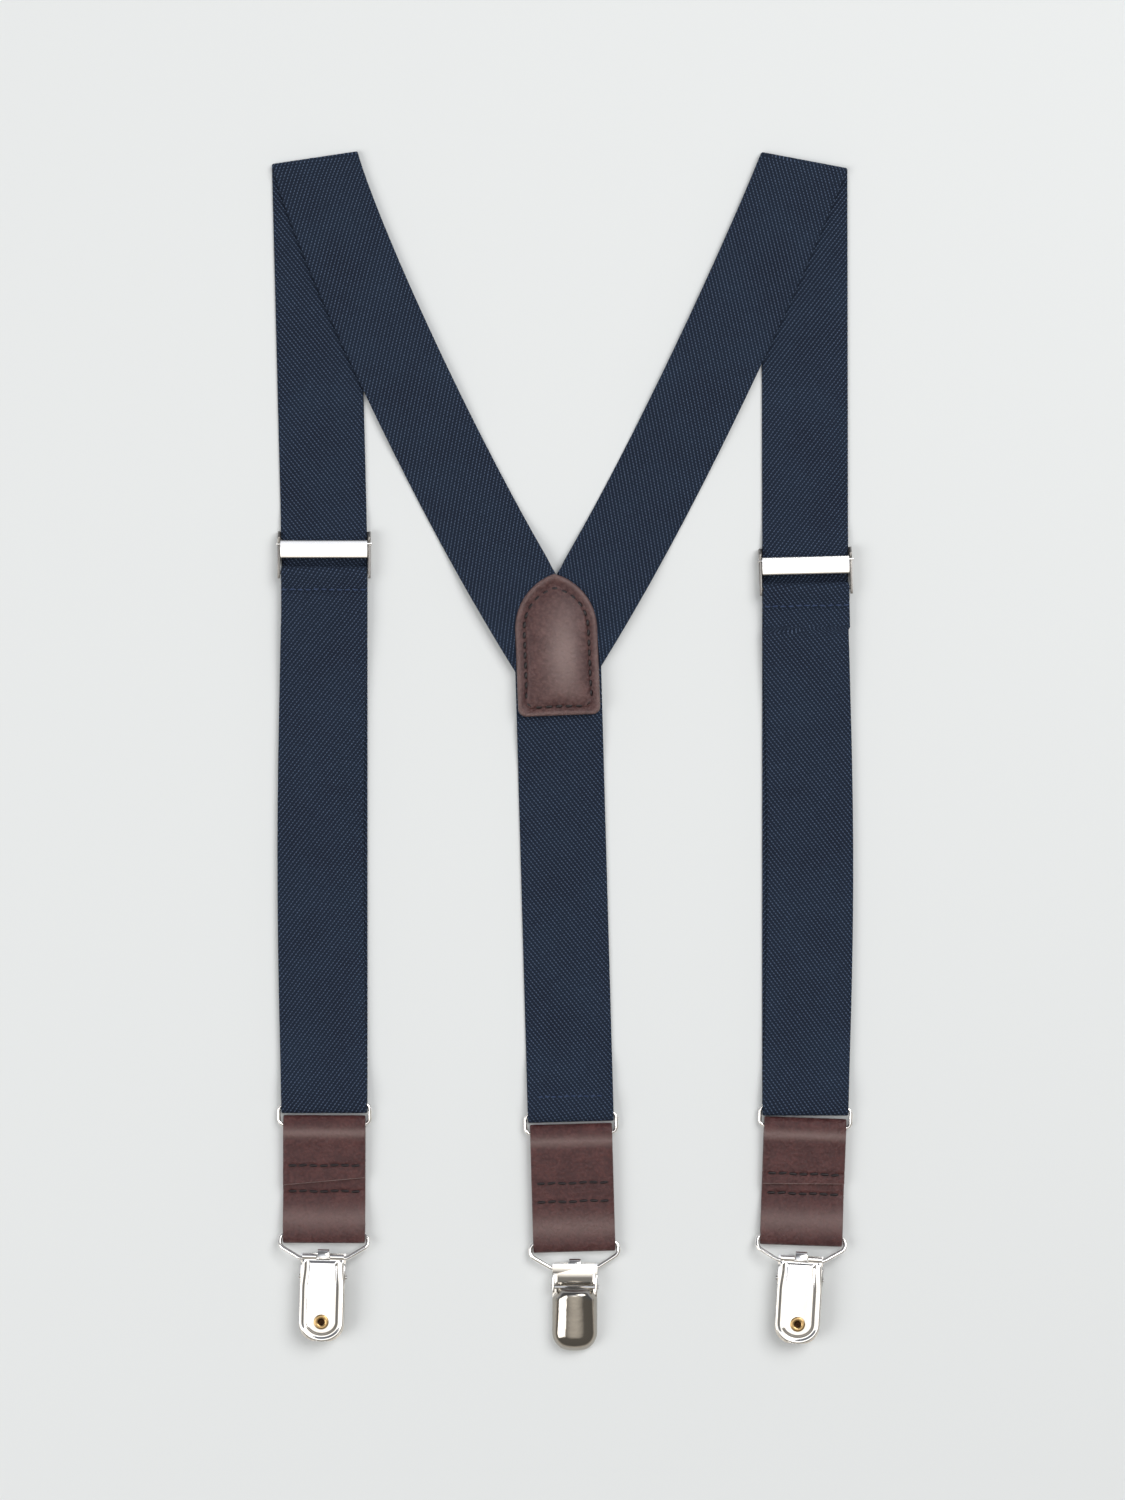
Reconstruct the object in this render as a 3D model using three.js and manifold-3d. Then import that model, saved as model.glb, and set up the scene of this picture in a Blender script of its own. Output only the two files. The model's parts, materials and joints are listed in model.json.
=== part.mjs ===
// Suspenders: a Y-back pair in elastic webbing, laid out flat with the shoulders folded over.
// Three strap ends each carry an oval ring, a leather tab, a wire loop and a sprung metal clip.
//
// Axes: +X to the right, +Y towards the shoulders, +Z up from the table. Millimetres and degrees.
// The layout is drawn from the foot of the yoke patch, and the last lines move the finished model
// so that its origin is the middle of its own footprint, on the table.

import * as THREE from 'three';
import Module from 'manifold-3d';
import { mergeVertices } from 'three/addons/utils/BufferGeometryUtils.js';

const wasm = await Module();
wasm.setup();

// ---------------------------------------------------------------- driving dimensions

const GAP = 0.3; // air between pieces that touch

const WEBBING = { width: 35, thickness: 1.3 };
const LEATHER = { width: 33.4, thickness: 1.2 };

const SHOULDER_SPAN = 199.2; // between the middles of the two shoulder folds
const SHOULDER_HEIGHT = 226.4; // folds above the foot of the yoke patch
const FRONT_LENGTH = 389; // shoulder fold to front ring
const BACK_LENGTH = 165.7; // foot of the yoke patch to back ring
const SLIDER_HEIGHT = 227; // slider above the front ring

const YOKE = {
  width: 33.4, height: 57.6, shoulder: 35, corner: 3.2, lean: 2.2,
  liningThickness: 1, liningInset: 0.6, patchThickness: 1.2, meetHeight: 33, endSlant: 12,
  strapTop: 44, stepFrom: 24, stepTo: 3, pointInset: 1.6,
};
const ARM = { heading: 32, yokeHandle: 74, foldHandle: 34, leavesYoke: 22, ramp: 34, crossing: 105 };
const FOLD = { depth: 1.4, settle: 46 }; // depth of the soft roll, length of the turn into it

const RING = { wire: 1.5, barSpacing: 8.2, endClearance: 1, corner: 2 };
const LOOP = {
  wire: 1.7, length: 10.3, neck: 9.3, flare: 5.2, endClearance: 1.2, corner: 2, bend: 2, neckBend: 1,
};
const WEB_END = { reach: 3.6, sewn: 16, settle: 24 }; // turn past the ring's bar, sewn ply, fall
const TAB = { barSpacing: 44.4, reach: 3.8, cutAt: 23, overlap: 9, pinch: 11, lift: 4 };

const SLIDER = {
  barHeight: 7.2, barThickness: 1, sheet: 0.8, depth: 5.9, above: 7.3, below: 11.8,
  sideClearance: 0.5, tailBar: 1.4, tailBarDrop: 9.3, pivot: 1.4, pivotRise: 2.2, pivotDrop: 0.5,
  anvilBelow: 3.2, plateOverhang: 0.1, toothHalf: 15, toothLift: 0.3, weld: 0.2, pivotEnd: 0.5,
  lugLength: 2.4, lugHeight: 2.2, lugDrop: 0.9, rampFrom: 12, rampTo: 1, dropAfterBar: 2.8,
};
const SLIDER_LEG = { tip: 1.2, foot: 1.4, fall: 0.6, chamfer: 2.4, chamferDrop: 2.6 };
const TAIL = {
  head: 26, foldedEnd: 22, join: 12, // sewn head, its inner ply, joint above the ring
  climbFrom: 34, climbTo: 2, barClearance: 0.4, bendLength: 5, backStart: 4,
};

const CLIP = {
  sheet: 0.8, width: 18.2, taper: 0.7, length: 33.4, panelInset: 3.3, panelRise: 0.6,
  taperFrom: 3, taperTo: 12, foot: 8, notchClearance: 0.5, notchDepth: 0.4,
  panelTop: 2.6, panelMargin: 3, panelFoot: 6, weld: 0.2, earFoot: 1.2,
  bridgeDrop: 5.5, waistClearance: 1.2, waistAt: 2.2, tongueWidth: 4.6, tongueReach: 3.7,
  pin: 1.6, pinDrop: 7.6, pinHeight: 1.5, pinEnd: 0.6, earTop: 2.6, earBottom: 9.6, earHeight: 2.9,
  padInset: 2.8, padThickness: 1, padTop: 9.6, padLength: 21, padFoot: 5,
  rivetDrop: 25.4, rivetHole: 1.2, rivetBarrel: 1.7, rivetHead: 3.05, rivetHeadThickness: 0.4,
  rivetInnerStep: 0.5,
};
const LEVER = {
  top: 5.9, length: 27.6, earClearance: 0.8, widenFrom: 4, widenTo: 6.6, tip: 7.6, tipHalf: 2.2,
  crown: 6.1, topCrown: 0.42, rise: 8, fallFrom: 18, fall: 10.6, rim: -0.5, sheet: 0.8,
  toeInset: 3.5, toeAt: 9, toeLow: 0.5, toeHigh: 2.9,
};

// How each strap lies on the table: what differs between the three ends.
const SIDES = {
  left: { hand: -1, foldRise: 0.5, firstHeading: 15.5, lean: 4, slider: 2.6, sliderTurn: 0, bow: -1.6 },
  right: { hand: 1, foldRise: -0.5, firstHeading: 21.5, lean: 0.3, slider: -3, sliderTurn: 1.4, bow: 2 },
};
const ENDS = {
  left: { ringTurn: 0.5, tabTurn: -0.2, loopTurn: -0.4, clipTurn: -1.6, faceUp: false },
  right: { ringTurn: -2, tabTurn: -2, loopTurn: -1.8, clipTurn: -3.4, faceUp: false },
  back: { ringTurn: 1.2, tabTurn: 1.6, loopTurn: 1.6, clipTurn: -0.2, faceUp: true },
};
const BACK_LEAN = 1.6;

// Heights of the layers above the table.
const LYING = WEBBING.thickness / 2;
const SECOND_PLY = LYING + WEBBING.thickness + GAP;
const RING_HEIGHT = WEBBING.thickness + GAP + RING.wire / 2;
const BACK_STRAP_HEIGHT = YOKE.liningThickness + GAP + WEBBING.thickness / 2;
const ARM_HEIGHT = BACK_STRAP_HEIGHT + WEBBING.thickness + GAP;
const PATCH_HEIGHT = ARM_HEIGHT + WEBBING.thickness / 2 + GAP;

// ---------------------------------------------------------------- finishes

const finish = (color, roughness, metalness) => () =>
  new THREE.MeshStandardMaterial({ color, roughness, metalness });
const webbing = finish(0x1f2b3f, 0.85, 0);
const leather = finish(0x62494a, 0.55, 0);
const nickel = finish(0xddd8cc, 0.25, 1);
const brass = finish(0xc79a58, 0.3, 1);
const plastic = finish(0xe6e1d6, 0.5, 0);

// ---------------------------------------------------------------- helpers

const at = (x, y, z) => new THREE.Vector3(x, y, z);
const radians = THREE.MathUtils.degToRad;
const mix = THREE.MathUtils.lerp;
const ease = THREE.MathUtils.smoothstep;
const steps = (count) => Array.from({ length: count + 1 }, (_, i) => i / count);
const heading = (angle) => at(Math.cos(angle), Math.sin(angle), 0);

function piece(group, name, geometry, material) {
  const mesh = new THREE.Mesh(geometry, material());
  mesh.name = name;
  group.add(mesh);
  return mesh;
}

// A closed mesh from a list of corner positions and triangles.
function closedMesh(corners, triangles) {
  const geometry = new THREE.BufferGeometry();
  const positions = corners.flatMap((corner) => corner.toArray());
  geometry.setAttribute('position', new THREE.Float32BufferAttribute(positions, 3));
  geometry.setIndex(triangles.flat());
  return geometry;
}

// A flat band along a path: each station has a middle and a half-width vector, and the band's
// thickness stands square to both the half-width and the path.
function band(stations, thickness) {
  const last = stations.length - 1;
  const corners = [];
  const triangles = [];
  stations.forEach(({ middle, half }, i) => {
    const before = stations[Math.max(i - 1, 0)].middle;
    const after = stations[Math.min(i + 1, last)].middle;
    const along = after.clone().sub(before);
    const up = half.clone().cross(along).setLength(thickness / 2);
    for (const [side, face] of [[1, 1], [-1, 1], [-1, -1], [1, -1]]) {
      corners.push(middle.clone().addScaledVector(half, side).addScaledVector(up, face));
    }
  });
  for (let i = 0; i < last; i += 1) {
    for (let j = 0; j < 4; j += 1) {
      const a = 4 * i + j;
      const b = 4 * i + ((j + 1) % 4);
      triangles.push([a, a + 4, b + 4], [a, b + 4, b]);
    }
  }
  const end = 4 * last;
  triangles.push([0, 1, 2], [0, 2, 3], [end, end + 2, end + 1], [end, end + 3, end + 2]);
  return closedMesh(corners, triangles);
}

// Half-width vector of a strap that runs along a direction and is cut or creased along a line.
function slantedHalf(along, lineAngle, width) {
  const line = heading(lineAngle);
  const square = at(-along.y, along.x, 0).normalize();
  return line.multiplyScalar(width / 2 / Math.abs(line.dot(square)));
}

// Points of a hairpin turn: from middle - rise, out past the middle, and back at middle + rise.
function hairpin(middle, out, rise, drift, count = 8) {
  return steps(count).map((t) => {
    const turn = (t - 0.5) * Math.PI;
    return middle.clone()
      .addScaledVector(out, Math.cos(turn))
      .addScaledVector(rise, Math.sin(turn))
      .addScaledVector(drift, t - 0.5);
  });
}

// A closed wire loop: straight runs with rounded corners, of round section.
function wireLoop(points, radii, wire, segments) {
  const path = new THREE.CurvePath();
  const count = points.length;
  const rounded = points.map((corner, i) => {
    const before = points[(i + count - 1) % count].clone().sub(corner).setLength(radii[i]);
    const after = points[(i + 1) % count].clone().sub(corner).setLength(radii[i]);
    return { start: corner.clone().add(before), corner, end: corner.clone().add(after) };
  });
  rounded.forEach(({ start, corner, end }, i) => {
    path.add(new THREE.QuadraticBezierCurve3(start, corner, end));
    path.add(new THREE.LineCurve3(end, rounded[(i + 1) % count].start));
  });
  return new THREE.TubeGeometry(path, segments, wire / 2, 8, true);
}

// A shell between an outer and an inner surface, each a function of u and v from 0 to 1.
function shell(outer, inner, across, along) {
  const row = across + 1;
  const sheet = row * (along + 1);
  const corners = [outer, inner].flatMap((surface) =>
    steps(along).flatMap((v) => steps(across).map((u) => surface(u, v))));
  const triangles = [];
  for (let j = 0; j < along; j += 1) {
    for (let i = 0; i < across; i += 1) {
      const a = j * row + i;
      triangles.push([a, a + row + 1, a + 1], [a, a + row, a + row + 1]);
      triangles.push([sheet + a, sheet + a + 1, sheet + a + row + 1]);
      triangles.push([sheet + a, sheet + a + row + 1, sheet + a + row]);
    }
    const left = j * row;
    const right = left + across;
    triangles.push([left, sheet + left, sheet + left + row], [left, sheet + left + row, left + row]);
    triangles.push([right, sheet + right + row, sheet + right], [right, right + row, sheet + right + row]);
  }
  const end = along * row;
  for (let i = 0; i < across; i += 1) {
    triangles.push([i, i + 1, sheet + i + 1], [i, sheet + i + 1, sheet + i]);
    triangles.push([end + i, sheet + end + i + 1, end + i + 1]);
    triangles.push([end + i, sheet + end + i, sheet + end + i + 1]);
  }
  return closedMesh(corners, triangles);
}

// A plate cut from a flat outline, lying between two heights.
function plate(shape, low, high) {
  const options = { depth: high - low, bevelEnabled: false, curveSegments: 8 };
  return new THREE.ExtrudeGeometry(shape, options).translate(0, 0, low);
}

function outline(points) {
  return new THREE.Shape(points.map(([x, y]) => new THREE.Vector2(x, y)));
}

function block(width, length, height, x, y, z) {
  return new THREE.BoxGeometry(width, length, height).translate(x, y, z);
}

// A round bar along X.
function crossBar(diameter, length, y, z) {
  return new THREE.CylinderGeometry(diameter / 2, diameter / 2, length, 16)
    .rotateZ(Math.PI / 2).translate(0, y, z);
}

function toSolid(geometry) {
  const bare = geometry.clone();
  bare.deleteAttribute('normal');
  bare.deleteAttribute('uv');
  const merged = mergeVertices(bare, 1e-4);
  return new wasm.Manifold(new wasm.Mesh({
    numProp: 3,
    vertProperties: new Float32Array(merged.attributes.position.array),
    triVerts: new Uint32Array(merged.index.array),
  }));
}

// Joins the first list of shapes and cuts the second list out of them.
function joinAndCut(joined, cut = []) {
  const body = joined.map(toSolid).reduce((all, next) => all.add(next));
  const { vertProperties, triVerts, numProp } = cut.map(toSolid)
    .reduce((all, next) => all.subtract(next), body).getMesh();
  const corners = Array.from({ length: vertProperties.length / numProp }, (_, i) =>
    at(...vertProperties.slice(i * numProp, i * numProp + 3)));
  return closedMesh(corners, [Array.from(triVerts)]);
}

// ---------------------------------------------------------------- yoke

// Gothic arch: straight sides up to the shoulder, then two arcs that meet in a point.
function patchShape(inset) {
  const half = YOKE.width / 2 - inset;
  const rise = YOKE.height - YOKE.shoulder - inset * YOKE.pointInset;
  const radius = (half * half + rise * rise) / (2 * half);
  const sweep = Math.asin(rise / radius);
  const corner = YOKE.corner;
  const shape = new THREE.Shape();
  shape.moveTo(-half + corner, inset);
  shape.lineTo(half - corner, inset);
  shape.absarc(half - corner, inset + corner, corner, -Math.PI / 2, 0, false);
  shape.absarc(half - radius, YOKE.shoulder, radius, 0, sweep, false);
  shape.absarc(radius - half, YOKE.shoulder, radius, Math.PI - sweep, Math.PI, false);
  shape.absarc(-half + corner, inset + corner, corner, Math.PI, 1.5 * Math.PI, false);
  return shape;
}

function addYoke(model) {
  const lean = radians(YOKE.lean);
  const lining = plate(patchShape(YOKE.liningInset), 0, YOKE.liningThickness).rotateZ(lean);
  const patch = plate(patchShape(0), PATCH_HEIGHT, PATCH_HEIGHT + YOKE.patchThickness).rotateZ(lean);
  piece(model, 'yoke_lining', lining, leather);
  piece(model, 'yoke_patch', patch, leather);
}

// ---------------------------------------------------------------- shoulder straps

// Places and directions of one front strap: its crease at the shoulder, its slider and its ring.
function layOut({ hand, foldRise, firstHeading, lean, slider }) {
  const crest = at((hand * SHOULDER_SPAN) / 2, SHOULDER_HEIGHT + foldRise, 0);
  const sliderAt = at(crest.x + lean, crest.y - FRONT_LENGTH + SLIDER_HEIGHT + slider, 0);
  const ringAt = at(sliderAt.x, crest.y - FRONT_LENGTH, 0);
  const climb = crest.clone().sub(sliderAt).normalize();
  const armDown = heading(-Math.PI / 2 - hand * radians(firstHeading));
  // A flat fold mirrors the strap in its crease, so the crease halves the two directions.
  const creaseAngle = (Math.atan2(climb.y, climb.x) + Math.atan2(armDown.y, armDown.x)) / 2;
  const crease = heading(creaseAngle);
  const out = at(-crease.y, crease.x, 0);
  const turnAt = crest.clone().addScaledVector(out, -FOLD.depth - WEBBING.thickness / 2);
  const slip = armDown.dot(crease) / -armDown.dot(out);
  const drift = crease.clone().multiplyScalar(-slip * Math.PI * FOLD.depth);
  return { hand, sliderAt, ringAt, climb, armDown, creaseAngle, out, turnAt, drift };
}

// From the yoke to the shoulder: one arm of the Y, up off the lining and over its own front run.
function armStations({ hand, armDown, creaseAngle, turnAt, drift }) {
  const cut = -hand * radians(90 - YOKE.endSlant);
  const climb = heading(Math.PI / 2 - hand * radians(ARM.heading));
  const endHalf = slantedHalf(climb, cut, WEBBING.width);
  const lean = Math.sin(radians(YOKE.lean)) * YOKE.meetHeight;
  const start = at(hand * (Math.abs(endHalf.x) + GAP) - lean, YOKE.meetHeight, 0);
  const end = turnAt.clone().addScaledVector(drift, -0.5);
  const path = new THREE.CubicBezierCurve3(
    start,
    start.clone().addScaledVector(climb, ARM.yokeHandle),
    end.clone().addScaledVector(armDown, ARM.foldHandle),
    end,
  );
  const length = path.getLength();
  const onFront = length - ARM.crossing;
  return steps(30).map((t) => {
    const run = t * length;
    const along = path.getTangentAt(t);
    const square = Math.atan2(along.y, along.x) - Math.PI / 2;
    const line = square
      + (cut - square) * (1 - ease(run, 0, WEBBING.width))
      + (creaseAngle - square) * ease(run, length - FOLD.settle, length);
    const offYoke = 1 - ease(run, ARM.leavesYoke, ARM.leavesYoke + ARM.ramp);
    const ontoFront = ease(run, onFront - ARM.ramp, onFront);
    const middle = path.getPointAt(t);
    middle.z = LYING + (ARM_HEIGHT - LYING) * offYoke + (SECOND_PLY - LYING) * ontoFront;
    return { middle, half: slantedHalf(along, line, WEBBING.width) };
  });
}

// Height of the front run: flat on the table, and over the back of its slider.
function frontHeight(fromSlider) {
  const above = 1 - ease(fromSlider, SLIDER.above + SLIDER.rampTo, SLIDER.above + SLIDER.rampFrom);
  const below = ease(fromSlider, -SLIDER.tailBarDrop + SLIDER.dropAfterBar, -SLIDER.barHeight / 2);
  return LYING + (SLIDER.sheet + GAP) * above * below;
}

// The stations are closer together from just above the slider to just below it.
function frontStations({ sliderAt, ringAt, climb, creaseAngle, turnAt, drift }) {
  const start = turnAt.clone().addScaledVector(drift, 0.5);
  const foot = ringAt.y + TAIL.join;
  const closeFrom = sliderAt.y + SLIDER.above + SLIDER.rampFrom + SLIDER.lugLength;
  const closeTo = sliderAt.y - SLIDER.below - SLIDER.lugLength;
  const heights = [
    ...steps(14).map((t) => mix(start.y, closeFrom, t)),
    ...steps(18).slice(1).map((t) => mix(closeFrom, closeTo, t)),
    ...steps(8).slice(1).map((t) => mix(closeTo, foot, t)),
  ];
  return heights.map((y) => {
    const share = Math.max(y - sliderAt.y, 0) / (start.y - sliderAt.y);
    const x = mix(sliderAt.x, start.x, share);
    const along = y > sliderAt.y ? climb : at(0, 1, 0);
    const square = Math.atan2(along.y, along.x) - Math.PI / 2;
    const line = mix(creaseAngle, square, ease(start.y - y, 0, FOLD.settle));
    return { middle: at(x, y, frontHeight(y - sliderAt.y)), half: slantedHalf(along, line, WEBBING.width) };
  });
}

// One length of webbing from the yoke over the shoulder fold and down behind its own tail.
function shoulderStrap(place) {
  const { creaseAngle, climb, turnAt, out, drift } = place;
  const rise = at(0, 0, (LYING - SECOND_PLY) / 2);
  const middle = turnAt.clone().setZ((LYING + SECOND_PLY) / 2);
  const half = slantedHalf(climb, creaseAngle, WEBBING.width);
  const turn = hairpin(middle, out.clone().multiplyScalar(FOLD.depth), rise, drift)
    .slice(1, -1).map((point) => ({ middle: point, half }));
  return band([...armStations(place), ...turn, ...frontStations(place)], WEBBING.thickness);
}

// ---------------------------------------------------------------- webbing round the rings

// Down behind, round the ring's upper bar and up in front, for a strap that runs along Y. The ply
// behind starts at a distance above the ring's middle, and the heights give the ply in front.
function turnedEnd(below, upperHeights) {
  const half = at(WEBBING.width / 2, 0, 0);
  const bar = RING.barSpacing / 2;
  const out = at(0, -(WEB_END.reach - WEBBING.thickness / 2), 0);
  const rise = at(0, 0, RING_HEIGHT - LYING);
  const down = [at(0, below, LYING), at(0, (below + bar) / 2, LYING)];
  const turn = hairpin(at(0, bar, RING_HEIGHT), out, rise, at(0, 0, 0));
  const up = upperHeights.map(([y, z]) => at(0, y, z));
  return [...down, ...turn, ...up].map((middle) => ({ middle, half }));
}

// Height of the front ply over the ring, falling to lie on the ply behind it.
function upperPly(fromRing, settle) {
  const overRing = 2 * RING_HEIGHT - LYING;
  return mix(overRing, SECOND_PLY, ease(fromRing, RING.barSpacing / 2, settle));
}

// The adjusting tail, from its joint with the front run, round the ring and up to the slider.
function adjustingTail({ sliderAt, ringAt }, { bow, sliderTurn }) {
  const skew = (WEBBING.width / 2) * Math.abs(Math.sin(radians(sliderTurn)));
  const top = sliderAt.y - ringAt.y - TAIL.head - skew - GAP;
  const first = RING.barSpacing / 2 + 1;
  const heights = steps(26).map((t) => {
    const y = mix(first, top, t);
    const overHead = ease(y, top - TAIL.climbFrom, top - TAIL.climbTo) * (WEBBING.thickness + GAP);
    return [y, upperPly(y, WEB_END.settle) + overHead];
  });
  const stations = turnedEnd(TAIL.join - GAP, heights);
  for (const { middle } of stations.slice(-heights.length)) {
    middle.x += bow * Math.sin((Math.PI * (middle.y - first)) / (top - first));
  }
  return band(stations, WEBBING.thickness).translate(ringAt.x, ringAt.y, 0);
}

// The tail's sewn head: up the front, over the slider's lower bar, and a short ply down behind.
// Drawn about the middle of the slider's front plate.
function tailHead() {
  const half = at(WEBBING.width / 2, 0, 0);
  const bend = (SLIDER.tailBar + WEBBING.thickness) / 2 + GAP;
  const bar = at(0, -SLIDER.tailBarDrop, TAIL_BAR_HEIGHT);
  const overBack = SECOND_PLY + WEBBING.thickness + GAP;
  const nearBar = -SLIDER.tailBarDrop - TAIL.barClearance;
  const front = steps(10).map((t) => {
    const y = mix(-TAIL.head, nearBar, t);
    const rise = ease(y, -TAIL.foldedEnd + TAIL.bendLength, nearBar);
    return at(0, y, mix(overBack, bar.z + bend, rise));
  });
  const turn = hairpin(bar, at(0, bend, 0), at(0, 0, -bend), at(0, 0, 0));
  const backStart = -SLIDER.tailBarDrop - TAIL.backStart;
  const back = [at(0, backStart, SECOND_PLY), at(0, -TAIL.foldedEnd, SECOND_PLY)];
  return band([...front, ...turn, ...back].map((middle) => ({ middle, half })), WEBBING.thickness);
}

// The back strap lies on the lining, comes down to the table, and climbs over its own sewn end.
function addBackStrap(model) {
  const half = at(WEBBING.width / 2, 0, 0);
  const foot = -BACK_LENGTH + WEB_END.sewn + GAP;
  const strap = band(steps(40).map((t) => {
    const y = mix(YOKE.strapTop, foot, t);
    const onLining = ease(y, -YOKE.stepFrom, -YOKE.stepTo) * (BACK_STRAP_HEIGHT - LYING);
    const onOwnEnd = (1 - ease(y, foot + TAIL.climbTo, foot + WEB_END.sewn)) * (SECOND_PLY - LYING);
    return { middle: at(0, y, LYING + onLining + onOwnEnd), half };
  }), WEBBING.thickness).rotateZ(radians(BACK_LEAN));
  piece(model, 'back_strap', strap, webbing);

  const heights = steps(4).map((t) => {
    const y = mix(RING.barSpacing / 2 + 1, WEB_END.sewn, t);
    return [y, upperPly(y, WEB_END.sewn)];
  });
  const turned = band(turnedEnd(WEB_END.sewn, heights), WEBBING.thickness)
    .translate(0, -BACK_LENGTH, 0).rotateZ(radians(BACK_LEAN));
  piece(model, 'back_strap_end', turned, webbing);
  return at(0, -BACK_LENGTH, 0).applyAxisAngle(at(0, 0, 1), radians(BACK_LEAN));
}

// ---------------------------------------------------------------- slider

const LEG_INSIDE = WEBBING.width / 2 + SLIDER.sideClearance;
const LEG_OUTSIDE = LEG_INSIDE + SLIDER.sheet;
const TAIL_BAR_HEIGHT = SECOND_PLY + WEBBING.thickness / 2 + GAP + SLIDER.tailBar / 2;
const PLATE_BACK = SLIDER.depth - SLIDER.barThickness;
const PIVOT_HEIGHT = PLATE_BACK - SLIDER.pivotDrop;

// Two side legs joined by a back plate behind the strap and a lower bar that holds the tail.
function sliderFrame() {
  const { tip, foot, fall, chamfer, chamferDrop } = SLIDER_LEG;
  const leg = outline([
    [-SLIDER.below, TAIL_BAR_HEIGHT - tip], [-SLIDER.below, TAIL_BAR_HEIGHT + tip],
    [-SLIDER.below + foot, SLIDER.depth - fall], [SLIDER.above - chamfer, SLIDER.depth - fall],
    [SLIDER.above, SLIDER.depth - chamferDrop], [SLIDER.above, 0], [-SLIDER.anvilBelow, 0],
  ]);
  const legs = [-1, 1].map((hand) => plate(leg, 0, SLIDER.sheet)
    .rotateX(Math.PI / 2).rotateZ(Math.PI / 2)
    .translate(hand * (LEG_INSIDE + SLIDER.sheet / 2) - SLIDER.sheet / 2, 0, 0));
  const backLength = SLIDER.above + SLIDER.anvilBelow;
  const back = block(2 * LEG_OUTSIDE, backLength, SLIDER.sheet,
    0, SLIDER.above - backLength / 2, SLIDER.sheet / 2);
  const bar = crossBar(SLIDER.tailBar, 2 * LEG_OUTSIDE, -SLIDER.tailBarDrop, TAIL_BAR_HEIGHT);
  const holes = crossBar(SLIDER.pivot + 2 * GAP, 2 * LEG_OUTSIDE + 2, SLIDER.pivotRise, PIVOT_HEIGHT);
  return joinAndCut([...legs, back, bar], [holes]);
}

// The bright front plate: a lever on two end pivots, with a toothed lip that bites the strap.
function sliderLever() {
  const half = WEBBING.width / 2 + SLIDER.plateOverhang;
  const front = block(2 * half, SLIDER.barHeight, SLIDER.barThickness,
    0, 0, PLATE_BACK + SLIDER.barThickness / 2);
  const strapFace = LYING + SLIDER.sheet + GAP + WEBBING.thickness / 2;
  const lipLow = strapFace + SLIDER.toothLift;
  const lipHigh = PLATE_BACK + SLIDER.weld;
  const lip = block(2 * SLIDER.toothHalf, SLIDER.sheet, lipHigh - lipLow,
    0, SLIDER.pivotRise, (lipHigh + lipLow) / 2);
  const lugs = [-1, 1].map((hand) => block(SLIDER.sheet, SLIDER.lugLength, SLIDER.lugHeight,
    hand * (half - SLIDER.sheet / 2), SLIDER.pivotRise, PLATE_BACK - SLIDER.lugDrop));
  const pinFrom = half - SLIDER.sheet;
  const pinTo = LEG_OUTSIDE + SLIDER.pivotEnd;
  const pin = crossBar(SLIDER.pivot, pinTo - pinFrom, SLIDER.pivotRise, PIVOT_HEIGHT);
  const pins = [-1, 1].map((hand) => pin.clone().translate(hand * (pinFrom + pinTo) / 2, 0, 0));
  return joinAndCut([front, lip, ...lugs, ...pins]);
}

function addSlider(model, side, { sliderAt }, { sliderTurn }) {
  const group = new THREE.Group();
  group.position.copy(sliderAt);
  group.rotation.z = radians(sliderTurn);
  model.add(group);
  piece(group, `${side}_tail_head`, tailHead(), webbing);
  piece(group, `${side}_slider_frame`, sliderFrame(), nickel);
  piece(group, `${side}_slider_lever`, sliderLever(), nickel);
  return group;
}

// ---------------------------------------------------------------- ring, tab and wire loop

function ovalRing() {
  const half = WEBBING.width / 2 + RING.endClearance;
  const bar = RING.barSpacing / 2;
  const corners = [at(-half, -bar, 0), at(half, -bar, 0), at(half, bar, 0), at(-half, bar, 0)];
  return wireLoop(corners, corners.map(() => RING.corner), RING.wire, 56);
}

// A strip of leather round the ring's lower bar and the wire loop's bar. Its two ends overlap on
// the back, where two rows of stitches hold them. Drawn with the ring's bar at the origin and the
// back towards +Z.
function leatherTab() {
  const half = at(LEATHER.width / 2, 0, 0);
  const ringPly = RING.wire / 2 + GAP + LEATHER.thickness / 2;
  const loopPly = LOOP.wire / 2 + GAP + LEATHER.thickness / 2;
  const frontPly = (y) => -mix(ringPly, loopPly, -y / TAB.barSpacing);
  const step = LEATHER.thickness + GAP;
  const out = at(0, TAB.reach - LEATHER.thickness / 2, 0);
  const innerEnd = -(TAB.cutAt - TAB.overlap);
  const inner = steps(8).map((t) => {
    const y = mix(innerEnd, -TAB.barSpacing + 1, t);
    const lift = ease(-y, TAB.cutAt + TAB.lift, TAB.barSpacing - 1);
    return at(0, y, mix(frontPly(y) + step, loopPly, lift));
  });
  const lower = hairpin(at(0, -TAB.barSpacing, 0), out.clone().negate(), at(0, 0, -loopPly), at(0, 0, 0));
  const front = steps(6).slice(1, -1).map((t) => {
    const y = mix(-TAB.barSpacing, 0, t);
    return at(0, y, frontPly(y));
  });
  const upper = hairpin(at(0, 0, 0), out, at(0, 0, ringPly), at(0, 0, 0));
  const outer = steps(6).map((t) => {
    const y = mix(-1, -TAB.cutAt, t);
    return at(0, y, mix(ringPly, frontPly(y) + 2 * step, ease(-y, 1, TAB.pinch)));
  });
  const middles = [...inner, ...lower, ...front, ...upper, ...outer];
  return band(middles.map((middle) => ({ middle, half })), LEATHER.thickness);
}

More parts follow.
